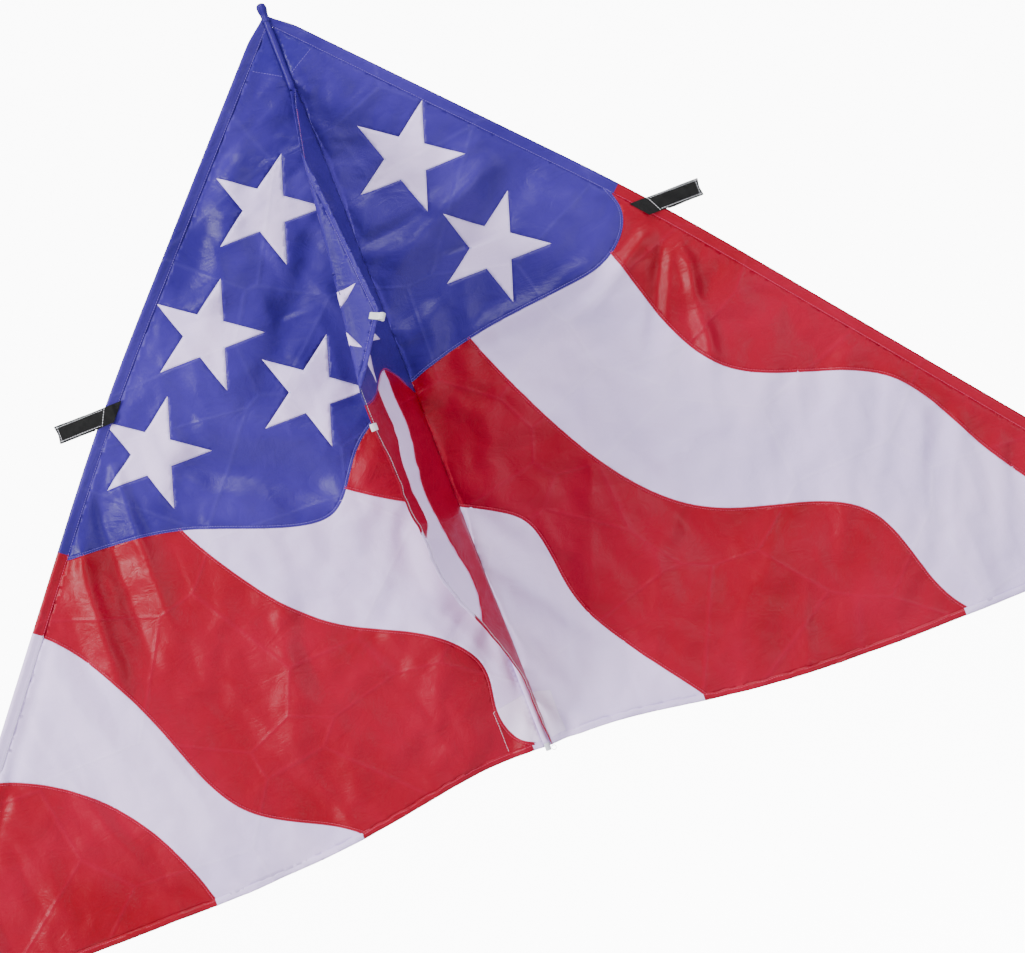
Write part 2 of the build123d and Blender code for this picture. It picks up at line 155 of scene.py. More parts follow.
class Recipe:
    """Builds one material's nodes."""

    def __init__(self, name: str) -> None:
        """Starts an empty material with its output."""
        self.material = bpy.data.materials.new(name)
        self.material.use_nodes = True
        self.nodes = self.material.node_tree.nodes
        self.links = self.material.node_tree.links
        self.nodes.clear()
        self.out = self.nodes.new("ShaderNodeOutputMaterial")

    def add(self, kind: str, settings: Optional[dict] = None, inputs: Optional[dict] = None) -> Any:
        """Adds one node.

        Args:
            kind: The node's type.
            settings: Its own properties, set first.
            inputs: Socket name or number, and a value, Value or socket.

        Returns:
            The node.
        """
        node = self.nodes.new(kind)
        for key, value in (settings or {}).items():
            if key == "stops":
                ramp = node.color_ramp
                while len(ramp.elements) < len(value):
                    ramp.elements.new(0.5)
                for stop, (place, grey) in zip(ramp.elements, value):
                    stop.position = place
                    stop.color = (grey, grey, grey, 1.0)
            else:
                setattr(node, key, value)
        for key, value in (inputs or {}).items():
            socket = node.inputs[key]
            if isinstance(value, Value):
                self.links.new(value.socket, socket)
            elif isinstance(value, bpy.types.NodeSocket):
                self.links.new(value, socket)
            else:
                socket.default_value = value
        return node

    def spot(self, scale: Sequence[float] = (1, 1, 1), turn: float = 0.0) -> Any:
        """Object coordinates, stretched and turned in the plane of the sail.

        Args:
            scale: Stretch along each axis.
            turn: Turn about Y, in degrees.

        Returns:
            The vector socket.
        """
        place = self.add("ShaderNodeTexCoord").outputs["Object"]
        node = self.add("ShaderNodeMapping", {},
                        {"Vector": place, "Scale": tuple(scale), "Rotation": (0, math.radians(turn), 0)})
        return node.outputs["Vector"]

    def noise(self, where: Any, scale: float, detail: float = 2.0, rough: float = 0.5,
              twist: float = 0.0) -> Value:
        """Soft noise as a value."""
        node = self.add(
            "ShaderNodeTexNoise", {},
            {"Vector": where, "Scale": scale, "Detail": detail, "Roughness": rough, "Distortion": twist}
        )
        return Value(self, node.outputs["Fac"])

    def ramp(self, fac: Value, stops: Sequence[tuple[float, float]]) -> Value:
        """A grey ramp on a value."""
        node = self.add("ShaderNodeValToRGB", {"stops": stops}, {"Fac": fac})
        return Value(self, node.outputs["Color"])

    def mix(self, fac: Value, a: Any, b: Any) -> Any:
        """Blends two colours and gives the colour socket."""
        node = self.add("ShaderNodeMix", {"data_type": "RGBA"}, {0: fac, 6: a, 7: b})
        return node.outputs[2]

    def bump(self, height: Value, distance: float, strength: float = 1.0) -> Any:
        """A bump from a height value."""
        node = self.add("ShaderNodeBump", {}, {"Height": height, "Distance": distance, "Strength": strength})
        return node.outputs["Normal"]

    def surface(self, inputs: dict) -> bpy.types.Material:
        """Finishes with one principled surface.

        Args:
            inputs: Its sockets and their values.

        Returns:
            The finished material.
        """
        shader = self.add("ShaderNodeBsdfPrincipled", {}, inputs)
        self.links.new(shader.outputs["BSDF"], self.out.inputs["Surface"])
        return self.material


@dataclass(frozen=True)
class SailFinish:
    """Thin glossy kite taffeta: close weave, crinkles and faint storage creases, with a painted highlight along
    the crinkles and creases.
    """

    name: str
    lit: Colour
    deep: Colour
    # pale: the painted highlight colour, blended in along crinkle ridges and crease lines.
    pale: Colour
    gloss: float = 0.34
    crinkle: float = 0.0024

    def build(self) -> bpy.types.Material:
        """Makes the material.

        Returns:
            The cloth material.
        """
        r = Recipe(self.name)
        here = r.spot()
        cloudy = r.noise(here, 3.2, 3.0, 0.55, 0.6)
        crush = r.ramp(r.noise(r.spot((1, 1, 1.7), 24), 13.0, 4.0, 0.62, 1.4),
                       [(0.30, 0.0), (0.5, 1.0), (0.70, 0.0)])
        fine = r.noise(r.spot((1.6, 1, 1), -31), 46.0, 2.0, 0.5, 0.8)
        edge = r.add("ShaderNodeTexVoronoi", {"feature": "DISTANCE_TO_EDGE"},
                     {"Vector": r.spot((1, 0.02, 1.3), 12), "Scale": 4.2})
        crease = r.ramp(Value(r, edge.outputs["Distance"]), [(0.0, 1.0), (0.022, 0.0)])
        warp = r.add("ShaderNodeTexWave", {"wave_type": "BANDS", "bands_direction": "X"},
                     {"Vector": here, "Scale": 620.0})
        weft = r.add("ShaderNodeTexWave", {"wave_type": "BANDS", "bands_direction": "Z"},
                     {"Vector": here, "Scale": 620.0})
        weave = Value(r, warp.outputs["Fac"]) * Value(r, weft.outputs["Fac"])
        body = r.mix(r.ramp(cloudy, [(0.34, 0.0), (0.66, 1.0)]), self.deep, self.lit)
        # Painted highlight: crinkle ridges and storage crease lines are blended toward the pale colour.
        tone_with_painted_highlight = r.mix(crush * 0.04 + crease * 0.08, body, self.pale)
        height = crush * 0.20 + fine * 0.16 + crease * 0.25 + cloudy * 0.6 + weave * 0.02
        return r.surface({
            "Base Color": tone_with_painted_highlight,
            "Roughness": r.ramp(cloudy * 0.5 + fine * 0.5,
                                [(0.3, self.gloss - 0.07), (0.7, self.gloss + 0.1)]),
            "Specular IOR Level": 0.17,
            "Normal": r.bump(height, self.crinkle, 0.9),
        })


@dataclass(frozen=True)
class WovenFinish:
    """Heavy woven tape or webbing with a visible rib."""

    name: str
    lit: Colour
    deep: Colour
    rib: float = 640.0
    rough: float = 0.78

    def build(self) -> bpy.types.Material:
        """Makes the material."""
        r = Recipe(self.name)
        across = r.add("ShaderNodeTexWave", {"wave_type": "BANDS", "bands_direction": "X"},
                       {"Vector": r.spot(), "Scale": self.rib, "Distortion": 0.6})
        along = r.add("ShaderNodeTexWave", {"wave_type": "BANDS", "bands_direction": "Z"},
                      {"Vector": r.spot(), "Scale": self.rib * 0.55, "Distortion": 0.6})
        rib = Value(r, across.outputs["Fac"]) * 0.6 + Value(r, along.outputs["Fac"]) * 0.4
        wear = r.noise(r.spot(), 90.0, 3.0)
        return r.surface({
            "Base Color": r.mix(rib * 0.6 + wear * 0.4, self.deep, self.lit),
            "Roughness": r.ramp(wear, [(0.3, self.rough - 0.08), (0.7, self.rough + 0.08)]),
            "Specular IOR Level": 0.3,
            "Normal": r.bump(rib + wear * 0.3, 0.0004, 0.8),
        })


@dataclass(frozen=True)
class HardFinish:
    """Spars, caps and the ferrule: drawn or moulded, with fine marks along them."""

    name: str
    lit: Colour
    deep: Colour
    rough: float
    metal: float = 0.0
    grain: tuple[float, float, float] = (1.0, 1.0, 1.0)

    def build(self) -> bpy.types.Material:
        """Makes the material."""
        r = Recipe(self.name)
        marks = r.noise(r.spot(self.grain), 260.0, 3.0, 0.6)
        worn = r.noise(r.spot(), 24.0, 2.0)
        return r.surface({
            "Base Color": r.mix(marks * 0.5 + worn * 0.5, self.deep, self.lit),
            "Metallic": self.metal,
            "Roughness": r.ramp(marks, [(0.3, self.rough - 0.06), (0.7, self.rough + 0.08)]),
            "Normal": r.bump(marks, 0.0002, 0.5),
        })


@dataclass(frozen=True)
class ThreadFinish:
    """Pale sewing thread, lightly twisted."""

    name: str
    lit: Colour
    deep: Colour

    def build(self) -> bpy.types.Material:
        """Makes the material."""
        r = Recipe(self.name)
        twist = r.noise(r.spot(), 900.0, 1.0)
        return r.surface({"Base Color": r.mix(twist, self.deep, self.lit), "Roughness": 0.6,
                          "Normal": r.bump(twist, 0.0002, 0.5)})


class Closet:
    """Every finish of the kite, made once."""

    def __init__(self) -> None:
        """Builds all the materials."""
        # The third colour of each taffeta, here and in the doubled set, is the painted highlight on its crinkles
        # and creases.
        self.cloth = {
            Dye.BLUE: SailFinish("blue taffeta", srgb(58, 41, 134), srgb(36, 19, 106),
                                 srgb(96, 86, 172)).build(),
            Dye.RED: SailFinish("red taffeta", srgb(150, 0, 38), srgb(133, 0, 22),
                                srgb(176, 16, 72)).build(),
            Dye.WHITE: SailFinish("white taffeta", srgb(224, 202, 248), srgb(208, 188, 238),
                                  srgb(242, 230, 255), 0.44, 0.0014).build(),
        }
        self.doubled = {
            Dye.BLUE: SailFinish("blue taffeta, doubled", srgb(52, 36, 132), srgb(32, 16, 104),
                                 srgb(90, 80, 170)).build(),
            Dye.RED: SailFinish("red taffeta, doubled", srgb(146, 0, 34), srgb(128, 0, 18),
                                srgb(172, 18, 66)).build(),
            Dye.WHITE: SailFinish("white taffeta, doubled", srgb(238, 220, 255), srgb(228, 210, 250),
                                  srgb(250, 240, 255), 0.44, 0.0014).build(),
        }
        self.webbing = WovenFinish("black webbing", srgb(12, 13, 14), srgb(4, 5, 5)).build()
        self.tape = WovenFinish("white tape", srgb(242, 242, 246), srgb(218, 218, 228), 900.0, 0.6).build()
        self.spar = HardFinish("drawn spar", srgb(46, 46, 50), srgb(26, 26, 29), 0.38, 0.0,
                               (1, 1, 0.05)).build()
        self.ferrule = HardFinish("ferrule tube", srgb(205, 206, 210), srgb(176, 178, 184), 0.34, 1.0,
                                  (0.05, 1, 1)).build()
        self.cap = HardFinish("moulded cap", srgb(30, 30, 33), srgb(18, 18, 20), 0.55).build()
        self.clear_cap = HardFinish("milky cap", srgb(226, 227, 236), srgb(204, 205, 218), 0.3).build()
        self.thread = {
            Dye.BLUE: ThreadFinish("violet thread", srgb(116, 98, 190), srgb(92, 74, 170)).build(),
            Dye.RED: ThreadFinish("pink thread", srgb(212, 60, 104), srgb(190, 36, 78)).build(),
            Dye.WHITE: ThreadFinish("white thread", srgb(236, 232, 246), srgb(206, 202, 224)).build(),
        }
        self.star_thread = ThreadFinish("pale blue thread", srgb(168, 186, 228), srgb(140, 156, 214)).build()
        self.webbing_thread = ThreadFinish("bright thread", srgb(236, 236, 240), srgb(205, 206, 212)).build()


def mesh_object(name: str, points: Array, faces: Sequence[Sequence[int]],
                materials: Sequence[bpy.types.Material]) -> bpy.types.Object:
    """Puts a smooth-shaded mesh in the scene.

    Args:
        name: The piece's name.
        points: Its corners in the row frame.
        faces: Corner numbers of each face.
        materials: Its material slots.

    Returns:
        The new object, at the origin.
    """
    mesh = bpy.data.meshes.new(name)
    mesh.from_pydata([tuple(map(float, p)) for p in points], [], [list(map(int, f)) for f in faces])
    mesh.polygons.foreach_set("use_smooth", [True] * len(mesh.polygons))
    mesh.update()
    for material in materials:
        mesh.materials.append(material)
    return put(name, mesh)


def put(name: str, mesh: bpy.types.Mesh) -> bpy.types.Object:
    """Puts a mesh in the scene as an object at the origin."""
    obj = bpy.data.objects.new(name, mesh)
    bpy.context.scene.collection.objects.link(obj)
    return obj


def corners(mesh: bpy.types.Mesh) -> Array:
    """All the mesh's corners, one row each."""
    flat = np.empty(len(mesh.vertices) * 3)
    mesh.vertices.foreach_get("co", flat)
    return flat.reshape(-1, 3)


def applied(obj: bpy.types.Object) -> bpy.types.Mesh:
    """A new mesh with the object's modifiers worked in."""
    dg = bpy.context.evaluated_depsgraph_get()
    return bpy.data.meshes.new_from_object(obj.evaluated_get(dg), preserve_all_data_layers=True,
                                           depsgraph=dg)


def soften(obj: bpy.types.Object) -> None:
    """Rounds a small piece with one level of subdivision."""
    modifier = obj.modifiers.new("soft", "SUBSURF")
    modifier.levels = modifier.render_levels = 1


def stand_in(obj: bpy.types.Object, node: str, body: str) -> None:
    """Shows a piece in place of a node, riding on its body."""
    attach(obj, body)
    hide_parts(node)


def thicken(obj: bpy.types.Object, thickness: float) -> bpy.types.Object:
    """Gives a sheet an even thickness about its middle."""
    modifier = obj.modifiers.new("cloth", "SOLIDIFY")
    modifier.thickness = thickness
    modifier.offset = 0.0
    modifier.use_even_offset = False
    return obj


class Lattice:
    """Smooth seeded noise over a plane, for relief."""

    def __init__(self, seed: int, size: int = 96) -> None:
        """Draws the lattice's heights."""
        self.size = size
        self.table = np.random.default_rng(seed).uniform(-1, 1, (size, size))

    def at(self, a: Array, b: Array) -> Array:
        """Noise at lattice places a and b, between -1 and 1."""
        ia, ib = np.floor(a).astype(int), np.floor(b).astype(int)
        fa, fb = a - ia, b - ib
        fa, fb = fa * fa * (3 - 2 * fa), fb * fb * (3 - 2 * fb)
        n = self.size
        t = self.table
        low = t[ia % n, ib % n] * (1 - fa) + t[(ia + 1) % n, ib % n] * fa
        high = t[ia % n, (ib + 1) % n] * (1 - fa) + t[(ia + 1) % n, (ib + 1) % n] * fa
        return low * (1 - fb) + high * fb

    def spot(self, a: float, b: float) -> float:
        """Noise at one lattice place."""
        return float(self.at(np.array(a), np.array(b)))


def ease(t: Array) -> Array:
    """Smooth step from 0 to 1."""
    t = np.clip(t, 0.0, 1.0)
    return t * t * (3 - 2 * t)


@dataclass(frozen=True)
class Fold:
    """A soft ridge or valley across the sail, in metres from the nose along X and Z."""

    start: tuple[float, float]
    end: tuple[float, float]
    width: float
    height: float

    def lift(self, x: Array, z: Array) -> Array:
        """Height toward the flyer at each place."""
        dx, dz = self.end[0] - self.start[0], self.end[1] - self.start[1]
        n = math.hypot(dx, dz)
        t = ((x - self.start[0]) * dx + (z - self.start[1]) * dz) / (n * n)
        off = ((x - self.start[0]) * dz - (z - self.start[1]) * dx) / n
        taper = ease((t + 0.08) / 0.3) * ease((1.08 - t) / 0.3)
        spread = self.width * (0.75 + 0.5 * np.clip(t, 0, 1))
        return self.height * taper * np.exp(-((off / spread) ** 2))


def travelled(line: Array) -> Array:
    """Distance along an open line at each of its points."""
    return np.r_[0, np.cumsum(np.linalg.norm(np.diff(line, axis=0), axis=1))]


def on_line(line: Array, step: Array, at: Array) -> Array:
    """Points at given distances along a line."""
    return np.column_stack([np.interp(at, step, line[:, k]) for k in range(line.shape[1])])


def resampled(line: Array, pitch: float) -> Array:
    """The same open line with points an even pitch apart."""
    step = travelled(line)
    return on_line(line, step, np.linspace(0, step[-1], max(2, round(step[-1] / pitch) + 1)))


class Flat:
    """Reads the flat outline of a CAD sheet and fills it with an even mesh."""

    @staticmethod
    def faces_of(node: str, normal: Vector) -> tuple[Array, list[tuple[int, int, int]]]:
        """Merged corners of a node, and its triangles that face one way.

        Args:
            node: The CAD node.
            normal: The way the wanted triangles face.

        Returns:
            Corners and triangles.
        """
        mesh = frame["nodes"][node].data
        co = corners(mesh)
        keys: dict[tuple, int] = {}
        index = [keys.setdefault(tuple(np.round(p * 50000).astype(int)), len(keys)) for p in co]
        merged = np.zeros((len(keys), 3))
        merged[index] = co
        mesh.calc_loop_triangles()
        wanted = []
        for tri in mesh.loop_triangles:
            a, b, c = (merged[index[v]] for v in tri.vertices)
            n = np.cross(b - a, c - a)
            size = np.linalg.norm(n)
            if size > 0 and n @ np.array(normal) > 0.97 * size:
                wanted.append(tuple(index[v] for v in tri.vertices))
        return merged, wanted

    @classmethod
    def loops(cls, node: str, normal: Vector, flatten: Callable[[Array], Array]) -> list[Array]:
        """Closed outlines of a CAD sheet, flattened.

        Args:
            node: The CAD node.
            normal: The way its shown face looks.
            flatten: Turns row-frame points into points on the flat.

        Returns:
            One array of points for each outline.
        """
        points, faces = cls.faces_of(node, normal)
        seen: dict[tuple[int, int], int] = {}
        for a, b, c in faces:
            for e in ((a, b), (b, c), (c, a)):
                seen[e] = seen.get(e, 0) + 1
        after = {a: b for a, b in seen if (b, a) not in seen}
        flat = flatten(points)
        found = []
        while after:
            start, here = next(iter(after.items()))
            chain = [start]
            del after[start]
            while here != start and here in after:
                chain.append(here)
                here = after.pop(here)
            if len(chain) > 2:
                found.append(flat[chain])
        return found

    @staticmethod
    def even(loop: Array, pitch: float) -> Array:
        """The same outline with points an even pitch apart, its corners kept."""
        n = len(loop)
        before, after = loop - np.roll(loop, 1, 0), np.roll(loop, -1, 0) - loop
        turn = np.abs(np.arctan2(before[:, 0] * after[:, 1] - before[:, 1] * after[:, 0],
                                 (before * after).sum(1)))
        corners = [i for i in range(n) if turn[i] > 0.35] or [0]
        out: list[Array] = []
        for k, i in enumerate(corners):
            j = corners[(k + 1) % len(corners)]
            line = np.array([loop[m % n] for m in range(i, (j if j > i else j + n) + 1)])
            step = travelled(line)
            count = max(1, round(step[-1] / pitch))
            out.append(on_line(line, step, np.linspace(0, step[-1], count + 1)[:-1]))
        return np.vstack(out)

    @staticmethod
    def inside(loops: Sequence[Array], points: Array) -> Array:
        """Which points lie inside the outlines, holes taken out."""
        hit = np.zeros(len(points), bool)
        x, y = points[:, 0], points[:, 1]
        for loop in loops:
            for (x1, y1), (x2, y2) in zip(loop, np.roll(loop, -1, 0)):
                if y1 == y2:
                    continue
                hit ^= ((y1 > y) != (y2 > y)) & (x < (x2 - x1) * (y - y1) / (y2 - y1) + x1)
        return hit

    @classmethod
    def fill(cls, loops: Sequence[Array], pitch: float,
             lines: Sequence[Array] = ()) -> tuple[Array, list[tuple[int, ...]]]:
        """Fills outlines with even triangles.

        Args:
            loops: Outlines, with holes.
            pitch: Distance between points.
            lines: Closed lines that triangles must not cross.

        Returns:
            Points and triangles, all turning the same way.
        """
        bounds = [cls.even(loop, pitch) for loop in loops]
        rims = bounds + [cls.even(line, pitch) for line in lines]
        low, high = np.min([r.min(0) for r in bounds], 0), np.max([r.max(0) for r in bounds], 0)
        grid = []
        for k, y in enumerate(np.arange(low[1], high[1], pitch * 0.866)):
            xs = np.arange(low[0] + (k % 2) * pitch / 2, high[0], pitch)
            grid.append(np.column_stack([xs, np.full(len(xs), y)]))
        grid = np.vstack(grid)
        grid = grid[cls.inside(bounds, grid)]
        rim = np.vstack(rims)
        cells: dict[tuple[int, int], list[Array]] = {}
        for p in rim:
            cells.setdefault((int(p[0] // pitch), int(p[1] // pitch)), []).append(p)
        keep = []
        for p in grid:
            cx, cy = int(p[0] // pitch), int(p[1] // pitch)
            near = [q for i in (-1, 0, 1) for j in (-1, 0, 1) for q in cells.get((cx + i, cy + j), ())]
            keep.append(all((p[0] - q[0]) ** 2 + (p[1] - q[1]) ** 2 > (0.6 * pitch) ** 2 for q in near))
        points = np.vstack([rim, grid[np.array(keep, bool)]]) if len(grid) else rim
        edges, base = [], 0
        for r in rims:
            edges += [(base + k, base + (k + 1) % len(r)) for k in range(len(r))]
            base += len(r)
        made = delaunay_2d_cdt([Vector(p) for p in points], edges, [], 0, 1e-7)
        spots = np.array([tuple(v) for v in made[0]])
        tris = np.array([f for f in made[2] if len(f) == 3])
        middle = spots[tris].mean(1)
        tris = tris[cls.inside(bounds, middle)]
        a, b, c = spots[tris[:, 0]], spots[tris[:, 1]], spots[tris[:, 2]]
        turn = (b[:, 0] - a[:, 0]) * (c[:, 1] - a[:, 1]) - (b[:, 1] - a[:, 1]) * (c[:, 0] - a[:, 0])
        tris[turn < 0] = tris[turn < 0][:, ::-1]
        return spots, [tuple(t) for t in tris[np.abs(turn) > 1e-12]]

    @staticmethod
    def size(loops: Sequence[Array]) -> tuple[tuple[float, float], float]:
        """Width, length and area of a flat cut, measured along its own grain.

        Returns:
            (width, length) and the area.
        """
        def one(loop: Array) -> float:
            """Area of one outline."""
            x, y = loop[:, 0], loop[:, 1]
            return 0.5 * abs(x @ np.roll(y, -1) - y @ np.roll(x, -1))
        sizes = sorted((one(loop) for loop in loops), reverse=True)
        area = sizes[0] - sum(sizes[1:])
        p = max(loops, key=one)
        best = None
        for turn in np.linspace(0, math.pi / 2, 46):
            c, s = math.cos(turn), math.sin(turn)
            q = p @ np.array([[c, -s], [s, c]])
            w, h = np.ptp(q, axis=0)
            if best is None or w * h < best[0] * best[1]:
                best = (w, h)
        return (float(min(best)), float(max(best))), float(area)


class Datum:
    """Where the flat plan of the kite lies: the spine's axis and the nose."""

    def __init__(self) -> None:
        """Reads the spine rod."""
        low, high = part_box("spine_rod")
        self.x = (low.x + high.x) / 2
        self.y = (low.y + high.y) / 2
        self.top = high.z + 6 * MM

    def flatten(self, points: Array) -> Array:
        """Row-frame points as places on the flat sail plan."""
        return np.column_stack([points[:, 0] - self.x, points[:, 2] - self.top])

    def raise_up(self, flat: Array, forward: Array | float = 0.0) -> Array:
        """Plan places as row-frame points, forward being toward the flyer."""
        ones = np.ones(len(flat))
        return np.column_stack([flat[:, 0] + self.x, self.y * ones - forward, flat[:, 1] + self.top])


class EdgeLine:
    """Centre line of one edge rod, read from its solid and carried on at both ends."""

    def __init__(self, side: Side, datum: Datum) -> None:
        """Finds the rod's rings and their centres."""
        points, _ = Flat.faces_of(f"{side.word}_edge_rod", Vector((0, 1, 0)))
        flat = datum.flatten(points) * (side.value, 1)
        ends = flat[flat[:, 1].argmax()], flat[flat[:, 1].argmin()]
        way = (ends[1] - ends[0]) / np.linalg.norm(ends[1] - ends[0])
        order = np.argsort(flat @ way)
        flat = flat[order]
        cuts = np.flatnonzero(np.diff(flat @ way) > 1.5 * MM) + 1
        rings = [r for r in np.split(flat, cuts) if len(r) > 5]
        self.line = np.array([(r.min(0) + r.max(0)) / 2 for r in rings])
        d = np.diff(self.line, axis=0)
        self.normals = np.column_stack([d[:, 1], -d[:, 0]]) / np.linalg.norm(d, axis=1)[:, None]

    def inward(self, x: Array, z: Array) -> Array:
        """Distance from the centre line toward the spine, for places on the right-hand plan."""
        best = np.full(np.shape(x), 1e9)
        for p, n in zip(self.line[:-1], self.normals):
            best = np.minimum(best, (x - p[0]) * n[0] + (z - p[1]) * n[1])
        return best

    def walk(self, pitch: float, over_top: float, over_tip: float,
             stops: Iterable[float] = ()) -> tuple[Array, Array]:
        """Stations along the line and the inward way at each.

        Args:
            pitch: Distance between stations.
            over_top: How far to carry on past the rod toward the nose.
            over_tip: How far to carry on past its foot.
            stops: Heights that must have a station.

        Returns:
            Stations and unit inward vectors, on the right-hand plan.
        """
        a, b = self.line[0] - self.line[1], self.line[-1] - self.line[-2]
        first = self.line[0] + a / np.linalg.norm(a) * over_top
        last = self.line[-1] + b / np.linalg.norm(b) * over_tip
        line = np.vstack([first, self.line, last])
        step = travelled(line)
        at = list(np.linspace(0, step[-1], max(2, round(step[-1] / pitch)) + 1))
        at += [float(np.interp(-z, -line[:, 1], step)) for z in stops]
        at = np.array(sorted(at))
        at = at[np.r_[True, np.diff(at) > 0.3 * MM]]
        spots = on_line(line, step, at)
        d = np.gradient(spots, axis=0)
        return spots, np.column_stack([d[:, 1], -d[:, 0]]) / np.linalg.norm(d, axis=1)[:, None]


@dataclass
class Slack:
    """The loose cloth of one wing: a cloth simulation between spine and edge, and sewing puckers."""

    side: Side
    datum: Datum
    edge: EdgeLine
    folds: Sequence[Fold]
    step: float = 9 * MM
    growth: float = 0.016
    frames: int = 20
    rim: float = 15.6 * MM
    spar_at: float = -0.541
    spar_half: float = 0.045
    spar_room: float = 5.5 * MM
    room: float = 22 * MM
    slip: float = 1.4 * MM
    hem_width: float = 10.15 * MM
    seed: int = 5
    move: Array = field(init=False, repr=False)

    def __post_init__(self) -> None:
        """Runs the simulation and keeps how far each grid point moved."""
        hem = Flat.loops(f"{self.side.word}_trailing_hem", Vector((0, -1, 0)), self.datum.flatten)[0]
        hem = hem * (self.side.value, 1)
        xs = np.linspace(0, hem[:, 0].max(), 160)
        low = [hem[np.abs(hem[:, 0] - x) < 12 * MM, 1] for x in xs]
        known = [(x, z.min()) for x, z in zip(xs, low) if len(z)]
        self.trail_x, self.trail_z = np.array(known).T
        self.nx, self.nz = int(1.20 / self.step) + 1, int(1.42 / self.step) + 1
        gx, gz = np.meshgrid(np.arange(self.nx) * self.step, -np.arange(self.nz) * self.step, indexing="ij")
        inward = self.edge.inward(gx, gz)
        inside = (inward > -10 * MM) & (gz > self.trail(gx) - 14 * MM) & (gz < -10 * MM)
        number = -np.ones(gx.shape, int)
        number[inside] = np.arange(inside.sum())
        cells = [(number[i, j], number[i, j + 1], number[i + 1, j + 1], number[i + 1, j])
                 for i in range(self.nx - 1) for j in range(self.nz - 1)]
        quads = [cell for cell in cells if min(cell) >= 0]
        noise = Lattice(self.seed + self.side.value)
        start = 1.6 * MM * noise.at(gx / 0.035, gz / 0.035) + 2.2 * MM * noise.at(gx / 0.11 + 7, gz / 0.11)
        hold = (inward < self.rim + 5 * MM) | (gx < 7 * MM)
        start[hold] = 0
        spots = np.column_stack([gx[inside], start[inside], gz[inside]])
        obj = mesh_object("slack_grid", spots, quads, [])
        pin = obj.vertex_groups.new(name="sewn")
        pin.add([int(k) for k in number[inside & hold]], 1.0, "REPLACE")
        self._simulate(obj)
        settled = obj.evaluated_get(bpy.context.evaluated_depsgraph_get()).to_mesh()
        m = np.zeros((self.nx, self.nz, 3))
        m[inside] = corners(settled) - spots * (1, 0, 1)
        mesh = obj.data
        bpy.data.objects.remove(obj)
        bpy.data.meshes.remove(mesh)
        self.move = m.copy()
        self.move[1:-1, 1:-1] = (4 * m[1:-1,
                                       1:-1] + m[:-2, 1:-1] + m[2:, 1:-1] + m[1:-1, :-2] + m[1:-1, 2:]) / 8
        self.move[~inside] = 0
        depth = self.move[..., 1] / MM
        log.info("%s slack: %d places, %.1f to %.1f mm", self.side.word, inside.sum(), depth.min(),
                 depth.max())

    def _simulate(self, obj: bpy.types.Object) -> None:
        """Lets the over-cut cloth buckle between its sewn edges."""
        cloth = obj.modifiers.new("slack", "CLOTH")
        s = cloth.settings
        s.quality = 6
        s.mass = 0.05
        s.tension_stiffness = s.compression_stiffness = 14
        s.shear_stiffness = 8
        s.bending_stiffness = 0.12
        s.air_damping = 1.2
        s.vertex_group_mass = "sewn"
        s.shrink_min = -self.growth
        s.effector_weights.gravity = 0.0
        scene = bpy.context.scene
        cloth.point_cache.frame_start, cloth.point_cache.frame_end = 1, self.frames
        for f in range(1, self.frames + 1):
            scene.frame_set(f)

    def trail(self, ax: Array) -> Array:
        """Height of the trailing edge at a distance from the spine."""
        return np.interp(ax, self.trail_x, self.trail_z)

    def at(self, flat: Array) -> tuple[Array, Array, Array]:
        """Interpolated simulated move at plan places of this wing.

        Args:
            flat: Plan places, left or right.

        Returns:
            Sideways, backward and upward moves.
        """
        x = np.clip(flat[:, 0] * self.side.value / self.step, 0, self.nx - 1.001)
        z = np.clip(-flat[:, 1] / self.step, 0, self.nz - 1.001)
        i, j = x.astype(int), z.astype(int)
        u, v = (x - i)[:, None], (z - j)[:, None]
        m = self.move
        got = (m[i, j] * (1 - u) + m[i + 1, j] * u) * (1 - v) + (m[i, j + 1] * (1 - u) + m[
            i + 1, j + 1
        ] * u) * v
        return got[:, 0] * self.side.value, got[:, 1], got[:, 2]

    def lift(self, flat: Array, forward: float = 0.0) -> Array:
        """Plan places on the slack sail, in the row frame.

        Args:
            flat: Plan places.
            forward: Extra distance toward the flyer.

        Returns:
            Row-frame points.
        """
        x, z = flat[:, 0], flat[:, 1]
        ax = x * self.side.value
        dx, back, dz = self.at(flat)
        inward = self.edge.inward(ax, z) - self.rim
        free = ease(inward / 0.03) * ease((ax - 6 * MM) / 0.02)
        noise = Lattice(40 + self.side.value)
        by_spine = np.exp(-np.maximum(ax - 6 * MM, 0) / 0.028) * ease((ax - 6 * MM) / 0.008)
        by_edge = np.exp(-np.maximum(inward, 0) / 0.022) * ease(inward / 0.006)
        run = (ax + z * -0.8) / 0.011
        pucker = 1.5 * MM * by_spine * noise.at(z / 0.0085, ax / 0.05)
        pucker = pucker + 1.1 * MM * by_edge * noise.at(run, inward / 0.03 + 11)
        sharp = 1 - 1.7 * np.abs(noise.at((z - 0.45 * ax) / 0.021, (ax + 0.2 * z) / 0.075))
        sharp = sharp + 0.6 * (1 - 1.7 * np.abs(noise.at((z + 0.5 * ax) / 0.015 + 40, ax / 0.05)))
        crumple = 2.6 * MM * free * sharp * np.exp(-((z + 0.26) / 0.20) ** 2) * np.exp(-ax / 0.12)
        broad = 1 - 1.7 * np.abs(noise.at((0.94 * ax - 0.34 * z) / 0.05 + 20,
                                          (0.34 * ax + 0.94 * z) / 0.21 + 20))
        crumple = crumple + 2.4 * MM * free * broad * ease(inward / 0.10)
        shaped = 1.5 * sum((fold.lift(x, z) for fold in self.folds), np.zeros(len(x))) * free
        out = back - shaped - pucker - crumple
        # The cloth stays short of the cross spar, and of the other wing beside the spine.
        roof = np.where(np.abs(z - self.spar_at) < self.spar_half, self.spar_room, self.room)
        roof = np.minimum(roof, 0.15 * MM + 0.2 * np.maximum(ax - 2 * MM, 0))
        out = np.where(out > 0, roof * np.tanh(out / roof), out)
